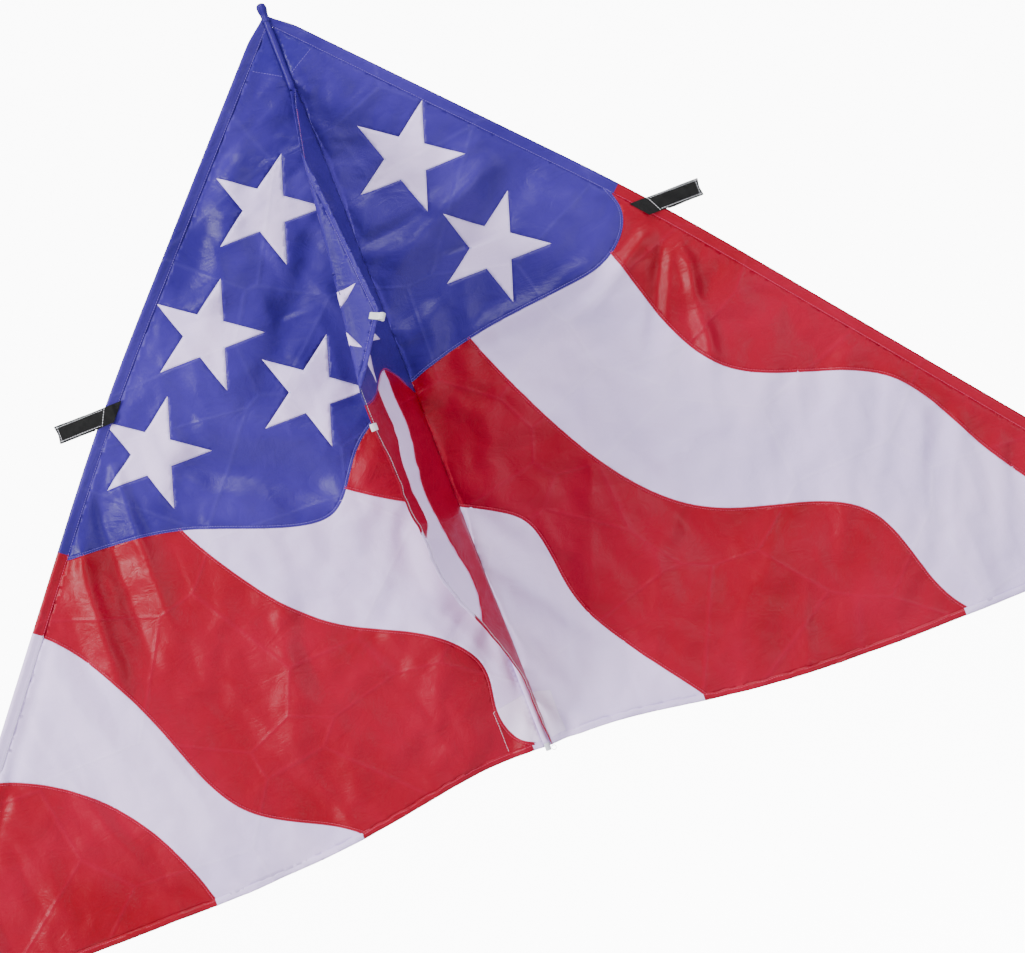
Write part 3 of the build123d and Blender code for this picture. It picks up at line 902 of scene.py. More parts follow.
        # The rims slip a little way under the spine sleeve, the edge sleeve and the hem.
        tuck = 1.6 * MM * (1 - ease((ax - 5.9 * MM) / (6 * MM)))
        tiny = 0.1 * MM
        way_x = (self.edge.inward(ax + tiny, z) - self.edge.inward(ax, z)) / tiny
        way_z = (self.edge.inward(ax, z + tiny) - self.edge.inward(ax, z)) / tiny
        under = self.slip * (1 - ease((inward + 0.1 * MM) / (6 * MM)))
        above = z - self.trail(ax) - self.hem_width
        below = np.where(above > 0, self.slip * (1 - ease(above / (6 * MM))), 0)
        moved = np.column_stack([x + dx - (tuck + way_x * under) * self.side.value,
                                 z + dz - way_z * under - below])
        return self.datum.raise_up(moved, forward - out)


@dataclass
class Stitcher:
    """Collects sewing lines and turns each set into real stitches with one node tree."""

    closet: Closet
    length: float = 3.0 * MM
    gap: float = 1.3 * MM
    thickness: float = 0.9 * MM
    seed: int = 7
    lines: dict = field(default_factory=dict)
    bends: dict = field(default_factory=dict)

    def sew(self, body: str, name: str, thread: bpy.types.Material, points: Array) -> None:
        """Adds a line of sewing on a body."""
        if len(points) > 1:
            self.lines.setdefault((body, name, thread.name), []).append(points)

    @property
    def sizes(self) -> dict[str, float]:
        """What the stitch tree is given, by name."""
        return {"Stitch Length": self.length, "Gap": self.gap, "Thickness": self.thickness}

    def _tree(self, thread: bpy.types.Material) -> bpy.types.NodeTree:
        """Builds the stitch tree for one thread.

        Args:
            thread: The thread's material.

        Returns:
            The node group.
        """
        tree = bpy.data.node_groups.new("stitches " + thread.name, "GeometryNodeTree")
        face = tree.interface
        face.new_socket("Geometry", in_out="INPUT", socket_type="NodeSocketGeometry")
        for word, value in self.sizes.items():
            face.new_socket(word, in_out="INPUT", socket_type="NodeSocketFloat").default_value = value
        face.new_socket("Seed", in_out="INPUT", socket_type="NodeSocketInt").default_value = self.seed
        face.new_socket("Geometry", in_out="OUTPUT", socket_type="NodeSocketGeometry")
        make = tree.nodes.new
        given, out = make("NodeGroupInput"), make("NodeGroupOutput")
        curve, even = make("GeometryNodeMeshToCurve"), make("GeometryNodeResampleCurve")
        even.mode = "LENGTH"
        pitch, half = make("ShaderNodeMath"), make("ShaderNodeMath")
        half.operation = "MULTIPLY"
        half.inputs[1].default_value = 0.5
        bar, put = make("GeometryNodeMeshCylinder"), make("GeometryNodeInstanceOnPoints")
        bar.inputs["Vertices"].default_value = 6
        along, turn = make("GeometryNodeInputTangent"), make("FunctionNodeAlignRotationToVector")
        turn.axis = "Z"
        vary, size = make("FunctionNodeRandomValue"), make("ShaderNodeCombineXYZ")
        vary.inputs[2].default_value, vary.inputs[3].default_value = 0.86, 1.08
        size.inputs[0].default_value = size.inputs[1].default_value = 1.0
        real, paint = make("GeometryNodeRealizeInstances"), make("GeometryNodeSetMaterial")
        paint.inputs["Material"].default_value = thread
        links = [
            (given, "Geometry", curve, "Mesh"),
            (given, "Stitch Length", pitch, 0),
            (given, "Gap", pitch, 1),
            (curve, "Curve", even, "Curve"),
            (pitch, 0, even, "Length"),
            (given, "Stitch Length", bar, "Depth"),
            (given, "Thickness", half, 0),
            (half, 0, bar, "Radius"),
            (even, "Curve", put, "Points"),
            (bar, "Mesh", put, "Instance"),
            (along, "Tangent", turn, "Vector"),
            (turn, "Rotation", put, "Rotation"),
            (given, "Seed", vary, "Seed"),
            (vary, 1, size, 2),
            (size, 0, put, "Scale"),
            (put, "Instances", real, "Geometry"),
            (real, "Geometry", paint, "Geometry"),
            (paint, "Geometry", out, "Geometry"),
        ]
        for source, given_by, target, taken_by in links:
            tree.links.new(source.outputs[given_by], target.inputs[taken_by])
        return tree

    def finish(self) -> list[bpy.types.Object]:
        """Makes one mesh of stitches for each body and thread.

        Returns:
            The stitch pieces, riding on their bodies.
        """
        made = []
        trees: dict[str, bpy.types.NodeTree] = {}
        for (body, name, thread), lines in self.lines.items():
            material = bpy.data.materials[thread]
            points = np.vstack(lines)
            edges, base = [], 0
            for line in lines:
                edges += [(base + k, base + k + 1) for k in range(len(line) - 1)]
                base += len(line)
            mesh = bpy.data.meshes.new("sewing lines")
            mesh.from_pydata([tuple(map(float, p)) for p in points], edges, [])
            guide = put("sewing lines", mesh)
            modifier = guide.modifiers.new("stitches", "NODES")
            if thread not in trees:
                trees[thread] = self._tree(material)
            modifier.node_group = trees[thread]
            sizes = {**self.sizes, "Seed": self.seed}
            for item in trees[thread].interface.items_tree:
                if item.in_out == "INPUT" and item.name in sizes:
                    modifier[item.identifier] = sizes[item.name]
            done = applied(guide)
            guide.modifiers.remove(modifier)
            bpy.data.objects.remove(guide)
            obj = put(name, done)
            if body in self.bends:
                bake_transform(obj)
            else:
                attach(obj, body)
            made.append(obj)
            log.info("%s: %d lines, %d faces", name, len(lines), len(done.polygons))
        return made


def offset_line(line: Array, distance: float) -> Array:
    """An open plan line moved sideways."""
    d = np.gradient(line, axis=0)
    n = np.column_stack([d[:, 1], -d[:, 0]]) / np.maximum(np.linalg.norm(d, axis=1), 1e-9)[:, None]
    return line + n * distance


def outward(obj: bpy.types.Object) -> bpy.types.Object:
    """Turns the faces of a closed mesh outward."""
    bm = bmesh.new()
    bm.from_mesh(obj.data)
    bmesh.ops.remove_doubles(bm, verts=bm.verts, dist=1e-6)
    bmesh.ops.recalc_face_normals(bm, faces=bm.faces)
    bm.to_mesh(obj.data)
    bm.free()
    return obj


def patchwork(rows: int, count: int) -> list[tuple[int, int, int, int]]:
    """Four-sided faces between neighbouring rows of points."""
    return [(r * count + k, r * count + k + 1, (r + 1) * count + k + 1, (r + 1) * count + k)
            for r in range(rows - 1) for k in range(count - 1)]


def tube(name: str, rings: Array, materials: Sequence[bpy.types.Material],
         pick: Sequence[int]) -> bpy.types.Object:
    """Skins closed rings into a capped tube.

    Args:
        name: The piece's name.
        rings: Stations by points by 3.
        materials: Material slots.
        pick: The slot for each stretch between stations.

    Returns:
        The piece.
    """
    n, m = rings.shape[:2]
    faces = [(k * m + i, k * m + (i + 1) % m, (k + 1) * m + (i + 1) % m, (k + 1) * m + i)
             for k in range(n - 1) for i in range(m)]
    faces += [tuple(range(m))[::-1], tuple(range((n - 1) * m, n * m))]
    obj = mesh_object(name, rings.reshape(-1, 3), faces, materials)
    for k in range(n - 1):
        for i in range(m):
            obj.data.polygons[k * m + i].material_index = pick[k]
    obj.data.polygons[-2].material_index, obj.data.polygons[-1].material_index = pick[0], pick[-1]
    return outward(obj)


def stretch_at(table: Sequence[tuple[float, Dye]], value: float) -> int:
    """Number of the dyed stretch that a place falls in."""
    return next((k for k, (limit, _) in enumerate(table) if value <= limit), len(table) - 1)


@dataclass
class Wing:
    """One wing: pieced panels, stars, patches, sleeve, hem and seams."""

    side: Side
    datum: Datum
    closet: Closet
    stitcher: Stitcher
    slack: Slack
    panels: dict
    star_count: int
    pitch: float = 5.4 * MM
    cloth: float = 0.3 * MM
    seam_width: float = 5.0 * MM

    def __post_init__(self) -> None:
        """Reads which colour meets the leading edge and the trailing hem, place by place."""
        spots, ways = self.slack.edge.walk(2 * MM, 132 * MM, 22 * MM)
        self.edge_dyes = self.stretches(-spots[:, 1], spots + ways * 21 * MM)
        xs = np.arange(8 * MM, self.slack.trail_x.max(), 2 * MM)
        self.trail_dyes = self.stretches(xs, np.column_stack([xs, self.slack.trail(xs) + 14 * MM]))

    def stretches(self, along: Array, spots: Array) -> list[tuple[float, Dye]]:
        """Colours met along a line.

        Args:
            along: Distance along the line.
            spots: Places just inside it, on the right-hand plan.

        Returns:
            The far end of each stretch and its colour.
        """
        found: list[tuple[float, Dye]] = []
        spots = spots * (self.side.value, 1)
        hits = {part: Flat.inside(self.outline(f"{self.side.word}_{part}"), spots) for part in self.panels}
        for k, value in enumerate(along):
            dye = next((self.panels[part] for part, hit in hits.items() if hit[k]), None)
            if dye is None:
                continue
            if found and found[-1][1] is dye:
                found[-1] = (float(value), dye)
            else:
                found.append((float(value), dye))
        return found

    @property
    def body(self) -> str:
        """The CAD body this wing rides on."""
        return f"{self.side.word}_wing"

    def stitch(self, dye: Dye, points: Array) -> None:
        """Adds a row of stitches in the thread that goes with a cloth."""
        self.stitcher.sew(self.body, f"{self.side.word}_{dye.word}_stitches", self.closet.thread[dye],
                          points)

    def outline(self, node: str, normal: float = -1) -> list[Array]:
        """Plan outlines of one of this wing's sheets."""
        return Flat.loops(node, Vector((0, normal, 0)), self.datum.flatten)

    def lay(self, name: str, loops: Sequence[Array], dye: Dye, forward: float, thickness: float,
            backed: Sequence[Array] = ()) -> bpy.types.Object:
        """Fills an outline and lays it on the slack sail, denser where a patch backs it."""
        spots, tris = Flat.fill(loops, self.pitch, backed)
        obj = mesh_object(name, self.slack.lift(spots, forward), tris,
                          [self.closet.cloth[dye], self.closet.doubled[dye]])
        if backed:
            dense = Flat.inside(backed, spots[np.array(tris)].mean(1))
            obj.data.polygons.foreach_set("material_index", dense.astype(int))
        return thicken(obj, thickness)

    def build(self) -> None:
        """Makes every piece of the wing."""
        word = self.side.word
        names = [f"{word}_star_{k + 1}" for k in range(self.star_count)]
        stars = {name: self.outline(name)[0] for name in names}
        extras = self.sew_stars(stars)
        extras += [self.patch(f"{word}_nose_patch", Dye.BLUE), self.patch(f"{word}_tail_patch", Dye.WHITE)]
        sleeve, hem = self.sleeve(), self.hem()
        seams: list[Array] = []
        patches = {"canton": f"{word}_nose_patch", "white_inner": f"{word}_tail_patch"}
        if self.side is Side.LEFT:
            patches["red_middle"] = f"{word}_tail_patch"
        for part, dye in self.panels.items():
            node = f"{word}_{part}"
            loops = self.outline(node)
            cut = loops + list(stars.values()) if part == "canton" else loops
            backing = patches.get(part)
            obj = self.lay(node + "_cloth", cut, dye, 0.0, self.cloth,
                           self.outline(backing) if backing else ())
            stand_in(obj, node, self.body)
            flat, area = Flat.size(cut)
            going = {"canton": extras + [sleeve], "red_centre": [hem]}.get(part, [])
            if part == "canton" or dye is Dye.RED:
                self.seam_strips(loops[0], dye, seams)
            log.info("%s: %.0f cm2", obj.name, area * 1e4)

    def sew_stars(self, stars: dict[str, Array]) -> list[bpy.types.Object]:
        """Makes the stars, let into the canton, with a line of pale thread round each."""
        made = []
        for node, loop in stars.items():
            obj = self.lay(node + "_cloth", [loop], Dye.WHITE, 0.0, self.cloth + 0.2 * MM)
            stand_in(obj, node, self.body)
            made.append(obj)
            middle = loop.mean(0)
            line = middle + (Flat.even(loop, 5 * MM) - middle) * 0.955
            ring = self.slack.lift(np.vstack([line, line[:1]]))
            self.stitcher.sew(self.body, f"{self.side.word}_star_stitches", self.closet.star_thread, ring)
        return made

    def patch(self, node: str, dye: Dye) -> bpy.types.Object:
        """Makes a reinforcing patch behind the sail, its edge sewn through."""
        loops = self.outline(node)
        obj = self.lay(node + "_cloth", loops, dye, -0.55 * MM, self.cloth)
        stand_in(obj, node, self.body)
        line = Flat.even(loops[0], 5 * MM)
        for run in self.runs(line, self.clear(line, 8 * MM, 2 * MM, 12 * MM)):
            self.stitch(dye, self.slack.lift(run))
        return obj

    def clear(self, line: Array, spine: float, edge: float, trail: float) -> Array:
        """Which places on a line are clear of the spine, the edge sleeve and the trailing hem."""
        ax = line[:, 0] * self.side.value
        inward = self.slack.edge.inward(ax, line[:, 1]) - self.slack.rim
        return (ax > spine) & (inward > edge) & (line[:, 1] > self.slack.trail(ax) + trail)

    @staticmethod
    def runs(line: Array, keep: Array) -> list[Array]:
        """Unbroken stretches of a closed line."""
        if keep.all():
            return [np.vstack([line, line[:1]])]
        first = int(np.flatnonzero(~keep)[0])
        line, keep = np.roll(line, -first, 0), np.roll(keep, -first)
        found, run = [], []
        for p, good in zip(line, keep):
            if good:
                run.append(p)
            elif run:
                found.append(np.array(run))
                run = []
        if run:
            found.append(np.array(run))
        return [r for r in found if len(r) > 3]

    def seam_strips(self, loop: Array, dye: Dye, seams: list[Array]) -> None:
        """Covers the joins along one panel with felled strips and two rows of stitches."""
        line = Flat.even(loop, 5 * MM)
        keep = self.clear(line, 6.6 * MM, 0.4 * MM, 11.2 * MM)
        for old in seams:
            near = np.min(np.linalg.norm(line[:, None] - old[None], axis=2), axis=1)
            keep &= near > 3.5 * MM
        for run in self.runs(line, keep):
            seams.append(run)
            run = np.vstack([2 * run[0] - run[1], run, 2 * run[-1] - run[-2]])
            rows = [self.slack.lift(offset_line(run, share * self.seam_width)) for share in (-0.5, 0, 0.5)]
            name = f"{self.side.word}_seam_{len(seams)}"
            obj = mesh_object(name, np.vstack(rows), patchwork(3, len(run)), [self.closet.cloth[dye]])
            thicken(obj, 0.75 * MM)
            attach(obj, self.body)
            for d in (-1.7 * MM, 1.7 * MM):
                self.stitch(dye, self.slack.lift(offset_line(run, d), 0.12 * MM))

    def sleeve(self) -> bpy.types.Object:
        """Makes the leading-edge sleeve: a slack tube round the rod with a sewn flange."""
        spots, ways = self.slack.edge.walk(5 * MM, 141 * MM, 22 * MM,
                                           [-limit for limit, _ in self.edge_dyes[:-1]])
        noise = Lattice(70 + self.side.value)
        step = travelled(spots)
        slim, gather = 0.35 + 0.65 * ease(step / 0.10), 0.66 + 0.34 * ease(step / 0.06)
        # Half the section, in millimetres: the sewn flange, its root, and round the rod.
        flange, round_rod = 15.4, 4.9
        half = [(flange, 0.35), (10.5, 0.75), (6.6, 2.3)]
        turns = np.radians([58, 90, 125, 160, 200, 235, 270, 302])
        around = half + [(round_rod * math.cos(t), round_rod * math.sin(t)) for t in turns]
        around += [(a, -y) for a, y in half[::-1]]
        rings = []
        for k, (p, way) in enumerate(zip(spots, ways)):
            ring = []
            for m, (a, y) in enumerate(around):
                loose = 1 + 0.10 * noise.spot(step[k] / 0.02, m * 0.6)
                dent = 0.7 * noise.spot(step[k] / 0.011 + 30, m * 0.3)
                y_here = y * slim[k] * loose + (dent * 0.6 if abs(y) > 0.5 else 0)
                spot = p + way * (flange - (flange - a) * gather[k]) * MM
                spot[0] = max(spot[0], 5.0 * MM)
                ring.append((spot[0] * self.side.value, y_here * MM, spot[1]))
            rings.append(ring)
        rings = np.array(rings)
        loose_spots = rings.reshape(-1, 3)
        placed = self.datum.raise_up(loose_spots[:, [0, 2]], -loose_spots[:, 1]).reshape(rings.shape)
        pick = [stretch_at(self.edge_dyes,
                           -(spots[k, 1] + spots[k + 1, 1]) / 2) for k in range(len(spots) - 1)]
        node = f"{self.side.word}_edge_sleeve"
        obj = tube(node + "_cloth", placed, [self.closet.cloth[d] for _, d in self.edge_dyes], pick)
        stand_in(obj, node, self.body)
        for k, (limit, dye) in enumerate(self.edge_dyes):
            low = 0 if k == 0 else self.edge_dyes[k - 1][0]
            part = (-spots[:, 1] >= low) & (-spots[:, 1] <= limit + 3 * MM)
            line = (spots + ways * 13.6 * MM)[part] * (self.side.value, 1)
            if len(line) > 2:
                line = resampled(line, 5 * MM)
                for front in (0.62 * MM, -0.62 * MM):
                    self.stitch(dye, self.datum.raise_up(line, front))
        return obj

    def hem(self) -> bpy.types.Object:
        """Makes the rolled trailing hem, dyed as the panels it finishes."""
        node = f"{self.side.word}_trailing_hem"
        loops = self.outline(node)
        spots, tris = Flat.fill(loops, 5 * MM)
        bm = bmesh.new()
        verts = [bm.verts.new((p[0], 0, p[1])) for p in spots]
        for t in tris:
            bm.faces.new([verts[i] for i in t])
        for limit, _ in self.trail_dyes[:-1]:
            whole = bm.verts[:] + bm.edges[:] + bm.faces[:]
            cut = (limit * self.side.value, 0, 0)
            bmesh.ops.bisect_plane(bm, geom=whole, dist=1e-6, plane_co=cut, plane_no=(1, 0, 0))
        bm.verts.index_update()
        flat = np.array([(v.co.x, v.co.z) for v in bm.verts])
        faces = [tuple(v.index for v in f.verts) for f in bm.faces]
        bm.free()
        lifted = self.slack.lift(flat)
        upper_rim = flat[:, 1] - self.slack.trail(np.abs(flat[:, 0])) > 8.5 * MM
        lifted[upper_rim, 2] += 2.2 * MM
        obj = mesh_object(node + "_cloth", lifted, faces, [self.closet.cloth[d] for _, d in self.trail_dyes])
        for polygon, face in zip(obj.data.polygons, faces):
            polygon.material_index = stretch_at(self.trail_dyes, abs(float(flat[list(face), 0].mean())))
        thicken(obj, 1.1 * MM)
        stand_in(obj, node, self.body)
        xs = np.arange(8 * MM, self.slack.trail_x.max() - 0.05, 5 * MM)
        for k, (limit, dye) in enumerate(self.trail_dyes):
            low = 0 if k == 0 else self.trail_dyes[k - 1][0]
            part = xs[(xs >= low) & (xs <= limit)]
            line = np.column_stack([part * self.side.value, self.slack.trail(part) + 8.6 * MM])
            for front in (0.3 * MM, -0.3 * MM):
                self.stitch(dye, self.slack.lift(line, front))
        return obj


# Distances down from the nose, and how far the keel's rim stands from the spine there.
KEEL_RIM = ((0.135, 0.525, 0.735, 1.312), (0.0059, 0.29, 0.29, 0.0059))


@dataclass
class Keel:
    """The limp keel: pieced panels, hems, a star and the corner that hangs folded over."""

    datum: Datum
    closet: Closet
    stitcher: Stitcher
    panels: dict
    pitch: float = 5.5 * MM
    cloth: float = 0.35 * MM
    turn: float = 10 * MM
    sway: Sequence[tuple[float, float]] = ()
    belly: Sequence[tuple[float, float]] = ()
    root: float = 9 * MM
    give: float = 85 * MM

    def __post_init__(self) -> None:
        """Reads the keel's plane and the crease from the solids and the record."""
        joints = {j["name"]: j for j in frame["joints"]}
        crease = joints["keel_corner_unfold"]
        self.crease, self.axis = np.array(crease["pos_m"]), np.array(crease["axis"])
        self.axis /= np.linalg.norm(self.axis)
        self.angle = math.radians(crease["range_deg"][1])
        low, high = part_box("tow_loop_lower")
        eye = np.array((low + high) / 2)
        out = np.array([eye[0] - self.datum.x, eye[1] - self.datum.y, 0])
        self.out = out / np.linalg.norm(out)
        self.normal = np.cross(self.out, (0, 0, 1))
        self.normal *= np.sign(self.normal[0])
        self.away = np.cross(self.axis, self.normal)
        self.away *= np.sign(self.away @ (self.out * 0.3 + np.array((0, 0, 1.0))))
        reach = np.linspace(0, 0.25, 500)
        w = np.zeros(500)
        for _ in range(60):
            w = 0.5 * w + 0.5 * ease(reach * np.cos(self.angle / 2 - self.angle * w) / self.turn)
        self.reach, self.weight = reach, w
        self.outlines = {node: self.outline(node) for node in self.panels}

    def outline(self, node: str) -> list[Array]:
        """Flat outlines of one of the keel's sheets."""
        if node.startswith("keel_corner"):
            return Flat.loops(node, self.corner_normal(), self.unfolded)
        return Flat.loops(node, Vector(self.normal), self.flatten)

    @staticmethod
    def reach_at(u: Array) -> Array:
        """Distance of the keel's rim from the spine, by distance down from the nose."""
        return np.interp(u, *KEEL_RIM)

    def flatten(self, points: Array) -> Array:
        """Row-frame points of the keel as distance from the spine and height."""
        v = (points[:, 0] - self.datum.x) * self.out[0] + (points[:, 1] - self.datum.y) * self.out[1]
        return np.column_stack([v, points[:, 2] - self.datum.top])

    def unfolded(self, points: Array) -> Array:
        """Corner points turned back into the keel's plane, then flattened."""
        turn = np.array(Matrix.Rotation(self.angle, 3, Vector(self.axis)))
        return self.flatten((points - self.crease) @ turn.T + self.crease)

    def corner_normal(self) -> Vector:
        """The way the corner's face looks while folded."""
        return Matrix.Rotation(-self.angle, 3, Vector(self.axis)) @ Vector(self.normal)

    def past(self, flat: Array) -> Array:
        """Distance past the crease, toward the corner."""
        p = self.spread(flat)
        return (p - self.crease) @ self.away

    def spread(self, flat: Array) -> Array:
        """Flat keel places in the keel's plane."""
        p = np.zeros((len(flat), 3))
        p += flat[:, :1] * self.out
        return p + np.array((self.datum.x, self.datum.y,
                             self.datum.top)) + flat[:, 1:] * np.array((0, 0, 1.0))

    def lift(self, flat: Array, forward: Array | float = 0.0) -> Array:
        """Flat keel places on the hanging keel, in the row frame.

        Args:
            flat: Distance from the spine, and height.
            forward: Extra distance out of the keel's face.

        Returns:
            Row-frame points.
        """
        p = self.spread(flat)
        s = np.maximum((p - self.crease) @ self.away, 0)
        theta = -self.angle * np.interp(s, self.reach, self.weight)
        c, k = np.cos(theta)[:, None], np.sin(theta)[:, None]
        s = s[:, None]
        v, u = flat[:, 0], -flat[:, 1]
        share = np.clip(v / np.maximum(self.reach_at(u), 0.012), 0, 1)
        swing, full = self.smooth(self.sway, u), self.smooth(self.belly, u)
        bulge = self.root + (full - self.root) * ease((v - 0.006) / 0.02)
        p = p - self.out * (5 * MM * (1 - ease((v - 0.0059) / 0.012)))[:, None]
        noise = Lattice(91)
        sag = swing * share + bulge * (1 - share)
        calm = ease((v - 0.012) / 0.05) * ease(-((p - self.crease) @ self.away) / 0.04)
        calm = calm * ease(np.abs(u - 0.725) / 0.05 + np.clip((0.24 - v) / 0.05, 0, 1))
        sag = sag + 2.6 * MM * calm * noise.at(u / 0.05, v / 0.09) + 1.1 * MM * calm * noise.at(
            u / 0.014 + 9, v / 0.05
        )
        sag = sag + 0.9 * MM * ease(v / 0.012) * np.exp(-v / 0.03) * noise.at(u / 0.008, v / 0.03)
        h = (np.asarray(forward) + sag)[:, None] if np.ndim(np.asarray(forward) + sag) else forward
        bent_out = c * self.away + k * np.cross(self.axis, self.away)
        bent_up = c * self.normal + k * np.cross(self.axis, self.normal)
        return p - s * self.away + s * bent_out + h * bent_up

    @staticmethod
    def smooth(table: Sequence[tuple[float, float]], u: Array) -> Array:
        """A table's value at each distance down from the nose, rounded off."""
        at, value = np.array(table).T
        return sum(np.interp(u + d, at, value) for d in (-0.02, -0.01, 0.0, 0.01, 0.02)) / 5

    def build(self) -> None:
        """Makes every piece of the keel."""
        pieces: dict[str, bpy.types.Object] = {}
        self.stitcher.bends["keel"] = ("spine", "keel", *self.root_span())
        for node, dye in self.panels.items():
            spots, tris = Flat.fill(self.outlines[node], self.pitch)
            pieces[node] = mesh_object(node + "_cloth", self.lift(spots), tris, [self.closet.cloth[dye]])
            self.seat(pieces[node], node, self.cloth, dye)
        trims = {"keel_hem_top": 1.1, "keel_hem_front": 1.1, "keel_corner_hem": 1.1, "keel_star": 1.3,
                 "keel_corner_star": 1.3}
        for node, thick in trims.items():
            for k, loop in enumerate(self.outline(node)):
                pieces[f"{node}#{k}"] = self.strip(node, k, loop, thick * MM)
        carried = {
            "keel_corner_cloth": ("keel_corner_hem", "keel_corner_star"),
            "keel_blue": ("keel_hem_top", "keel_hem_front", "keel_star"),
        }
        for node in self.panels:
            going = [o for n, o in pieces.items() if n.split("#")[0] in carried.get(node, ())]
            size, area = Flat.size(self.outlines[node])
        for node in ("keel_blue", "keel_white"):
            line = Flat.even(self.outlines[node][0], 5 * MM)
            keep = (line[:, 0] > 0.032) & (line[:, 0] < self.reach_at(-line[:, 1]) - 0.010)
            keep &= self.past(line) < -4 * MM
            for run in Wing.runs(line, keep):
                for aside in (-1.8 * MM, 1.8 * MM):
                    points = self.lift(offset_line(run, aside))
                    self.stitcher.sew("keel", "keel_seam_stitches", self.closet.thread[Dye.RED], points)
        log.info("keel: %d panels, %d pieces in all", len(self.panels), len(pieces))

    def root_span(self) -> tuple[tuple[float, ...], tuple[float, ...]]:
        """The stretch next to the spine over which the keel gives way as it swings."""
        root = np.array((self.datum.x, self.datum.y, self.crease[2]))
        return tuple(root), tuple(root + self.out * self.give)

    def seat(self, obj: bpy.types.Object, node: str, thickness: float, dye: Dye) -> None:
        """Thickens a keel piece, bakes its place into its mesh and stands it in for its node."""
        thicken(obj, thickness)
        if node.startswith("keel_corner"):
            self.bend(obj)
        else:
            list(self.root_span())
            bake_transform(obj)
        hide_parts(node)

    def bend(self, obj: bpy.types.Object) -> None:
        """Bakes a corner piece's place into its mesh."""
        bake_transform(obj)

    def strip(self, node: str, number: int, loop: Array, thickness: float) -> bpy.types.Object:
        """Makes one hem strip or star piece, dyed like the panel beside it."""
        is_star = node.endswith("star")
        spots, tris = Flat.fill([loop], self.pitch if is_star else 4 * MM)
        spread = self.lift(spots, 0.25 * MM if is_star else 0.0)
        obj = mesh_object(f"{node}_cloth_{number + 1}", spread, tris, [self.closet.cloth[d] for d in Dye])
        picks = [Dye.WHITE if is_star else self.dye_of(spots[list(t)].mean(0)) for t in tris]
        obj.data.polygons.foreach_set("material_index", [list(Dye).index(d) for d in picks])
        self.seat(obj, node, thickness, Dye.WHITE if is_star else self.dye_of(loop.mean(0)))
        if not is_star:
            self.stitch_hem(loop, "keel_corner" if node.startswith("keel_corner") else "keel")
        return obj

    def dye_of(self, spot: Array) -> Dye:
        """Colour of the panel beside a place on the hem."""
        inner = np.array([[spot[0] - 14 * MM, spot[1]], [spot[0] - 20 * MM, spot[1] - 8 * MM]])
        for node, loops in self.outlines.items():
            if Flat.inside(loops, inner).any():
                return self.panels[node]
        return Dye.BLUE if spot[1] > -0.6 else Dye.RED

    def stitch_hem(self, loop: Array, body: str) -> None:
        """Sews a row along the inner side of a hem."""
        line = Flat.even(loop, 5 * MM)
        inner = np.zeros(len(line), bool)
        for beside in ((-2.5 * MM, 0), (-1 * MM, -2.2 * MM)):
            for loops in self.outlines.values():
                inner |= Flat.inside(loops, line + beside)
        s = self.past(line)
        inner &= (s > 16 * MM) if body == "keel_corner" else (s < -2 * MM)
        for run in Wing.runs(line, inner):
            dye = self.dye_of(run.mean(0))
            for front in (0.75 * MM, -0.75 * MM):
                self.stitcher.sew(body, f"{body}_{dye.word}_stitches", self.closet.thread[dye],
                                  self.lift(run, front))


@dataclass
class SpineCloth:
    """The sleeve round the spine, dyed in three, and the gathered sock over its top."""

    datum: Datum
    closet: Closet
    dyes: Sequence[tuple[float, Dye]]

    def build(self) -> None:
        """Makes both pieces."""
        low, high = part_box("spine_sleeve")
        radius = (high.x - low.x) / 2
        changes = {self.datum.top - limit for limit, _ in self.dyes[:-1]}
        heights = sorted(set(np.round(np.linspace(low.z, high.z, 270), 5)) | changes, reverse=True)
        noise = Lattice(17)
        count = 14
        angles = np.linspace(0, 2 * math.pi, count + 1)[:-1]
        round_about = np.column_stack([np.cos(angles), np.sin(angles)])
        rings = []
        for z in heights:
            slack = np.array([noise.spot(z / 0.012, m * 0.8) for m in range(count)])
            ring = (self.datum.x, self.datum.y) + (radius * (0.965 + 0.045 * slack))[:, None] * round_about
            rings.append(np.column_stack([ring, np.full(count, z)]))
        depth = [self.datum.top - (a + b) / 2 for a, b in zip(heights[:-1], heights[1:])]
        pick = [stretch_at(self.dyes, d) for d in depth]
        obj = tube("spine_sleeve_cloth", np.array(rings), [self.closet.cloth[d] for _, d in self.dyes], pick)
        stand_in(obj, "spine_sleeve", "spine")
        self.sock()

    def sock(self) -> None:
        """Makes the gathered cloth over the nose cap."""
        low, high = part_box("nose_cap")
        top, radius = high.z + 0.8 * MM, (high.x - low.x) / 2 + 0.6 * MM
        # Millimetres down from the top, and the share of the full radius there.
        outline = [(34, 0.80), (30, 0.86), (26, 0.82), (22, 0.80), (19, 0.84), (16.5, 0.94), (13, 1.03)]
        outline += [(9, 1.05), (5.5, 1.0), (2.6, 0.84), (0.9, 0.55), (0.0, 0.18)]
        count = 48
        noise = Lattice(23)
        rings = []
        for drop, share in outline:
            row = []
            for m in range(count):
                t = 2 * math.pi * m / count
                pleat = 0.045 * math.cos(9 * t + 0.8 * math.sin(2 * t)) * min(1.0, share * 1.2)
                gather = 1 + pleat + 0.03 * noise.spot(drop / 4.0, m / 5.0)
                r = radius * share * gather
                row.append((self.datum.x + r * math.cos(t), self.datum.y + r * math.sin(t), top - drop * MM))
            rings.append(row)
        obj = tube("nose_sock", np.array(rings), [self.closet.cloth[Dye.BLUE]], [0] * (len(outline) - 1))
        soften(obj)
        stand_in(obj, "nose_cap", "spine")


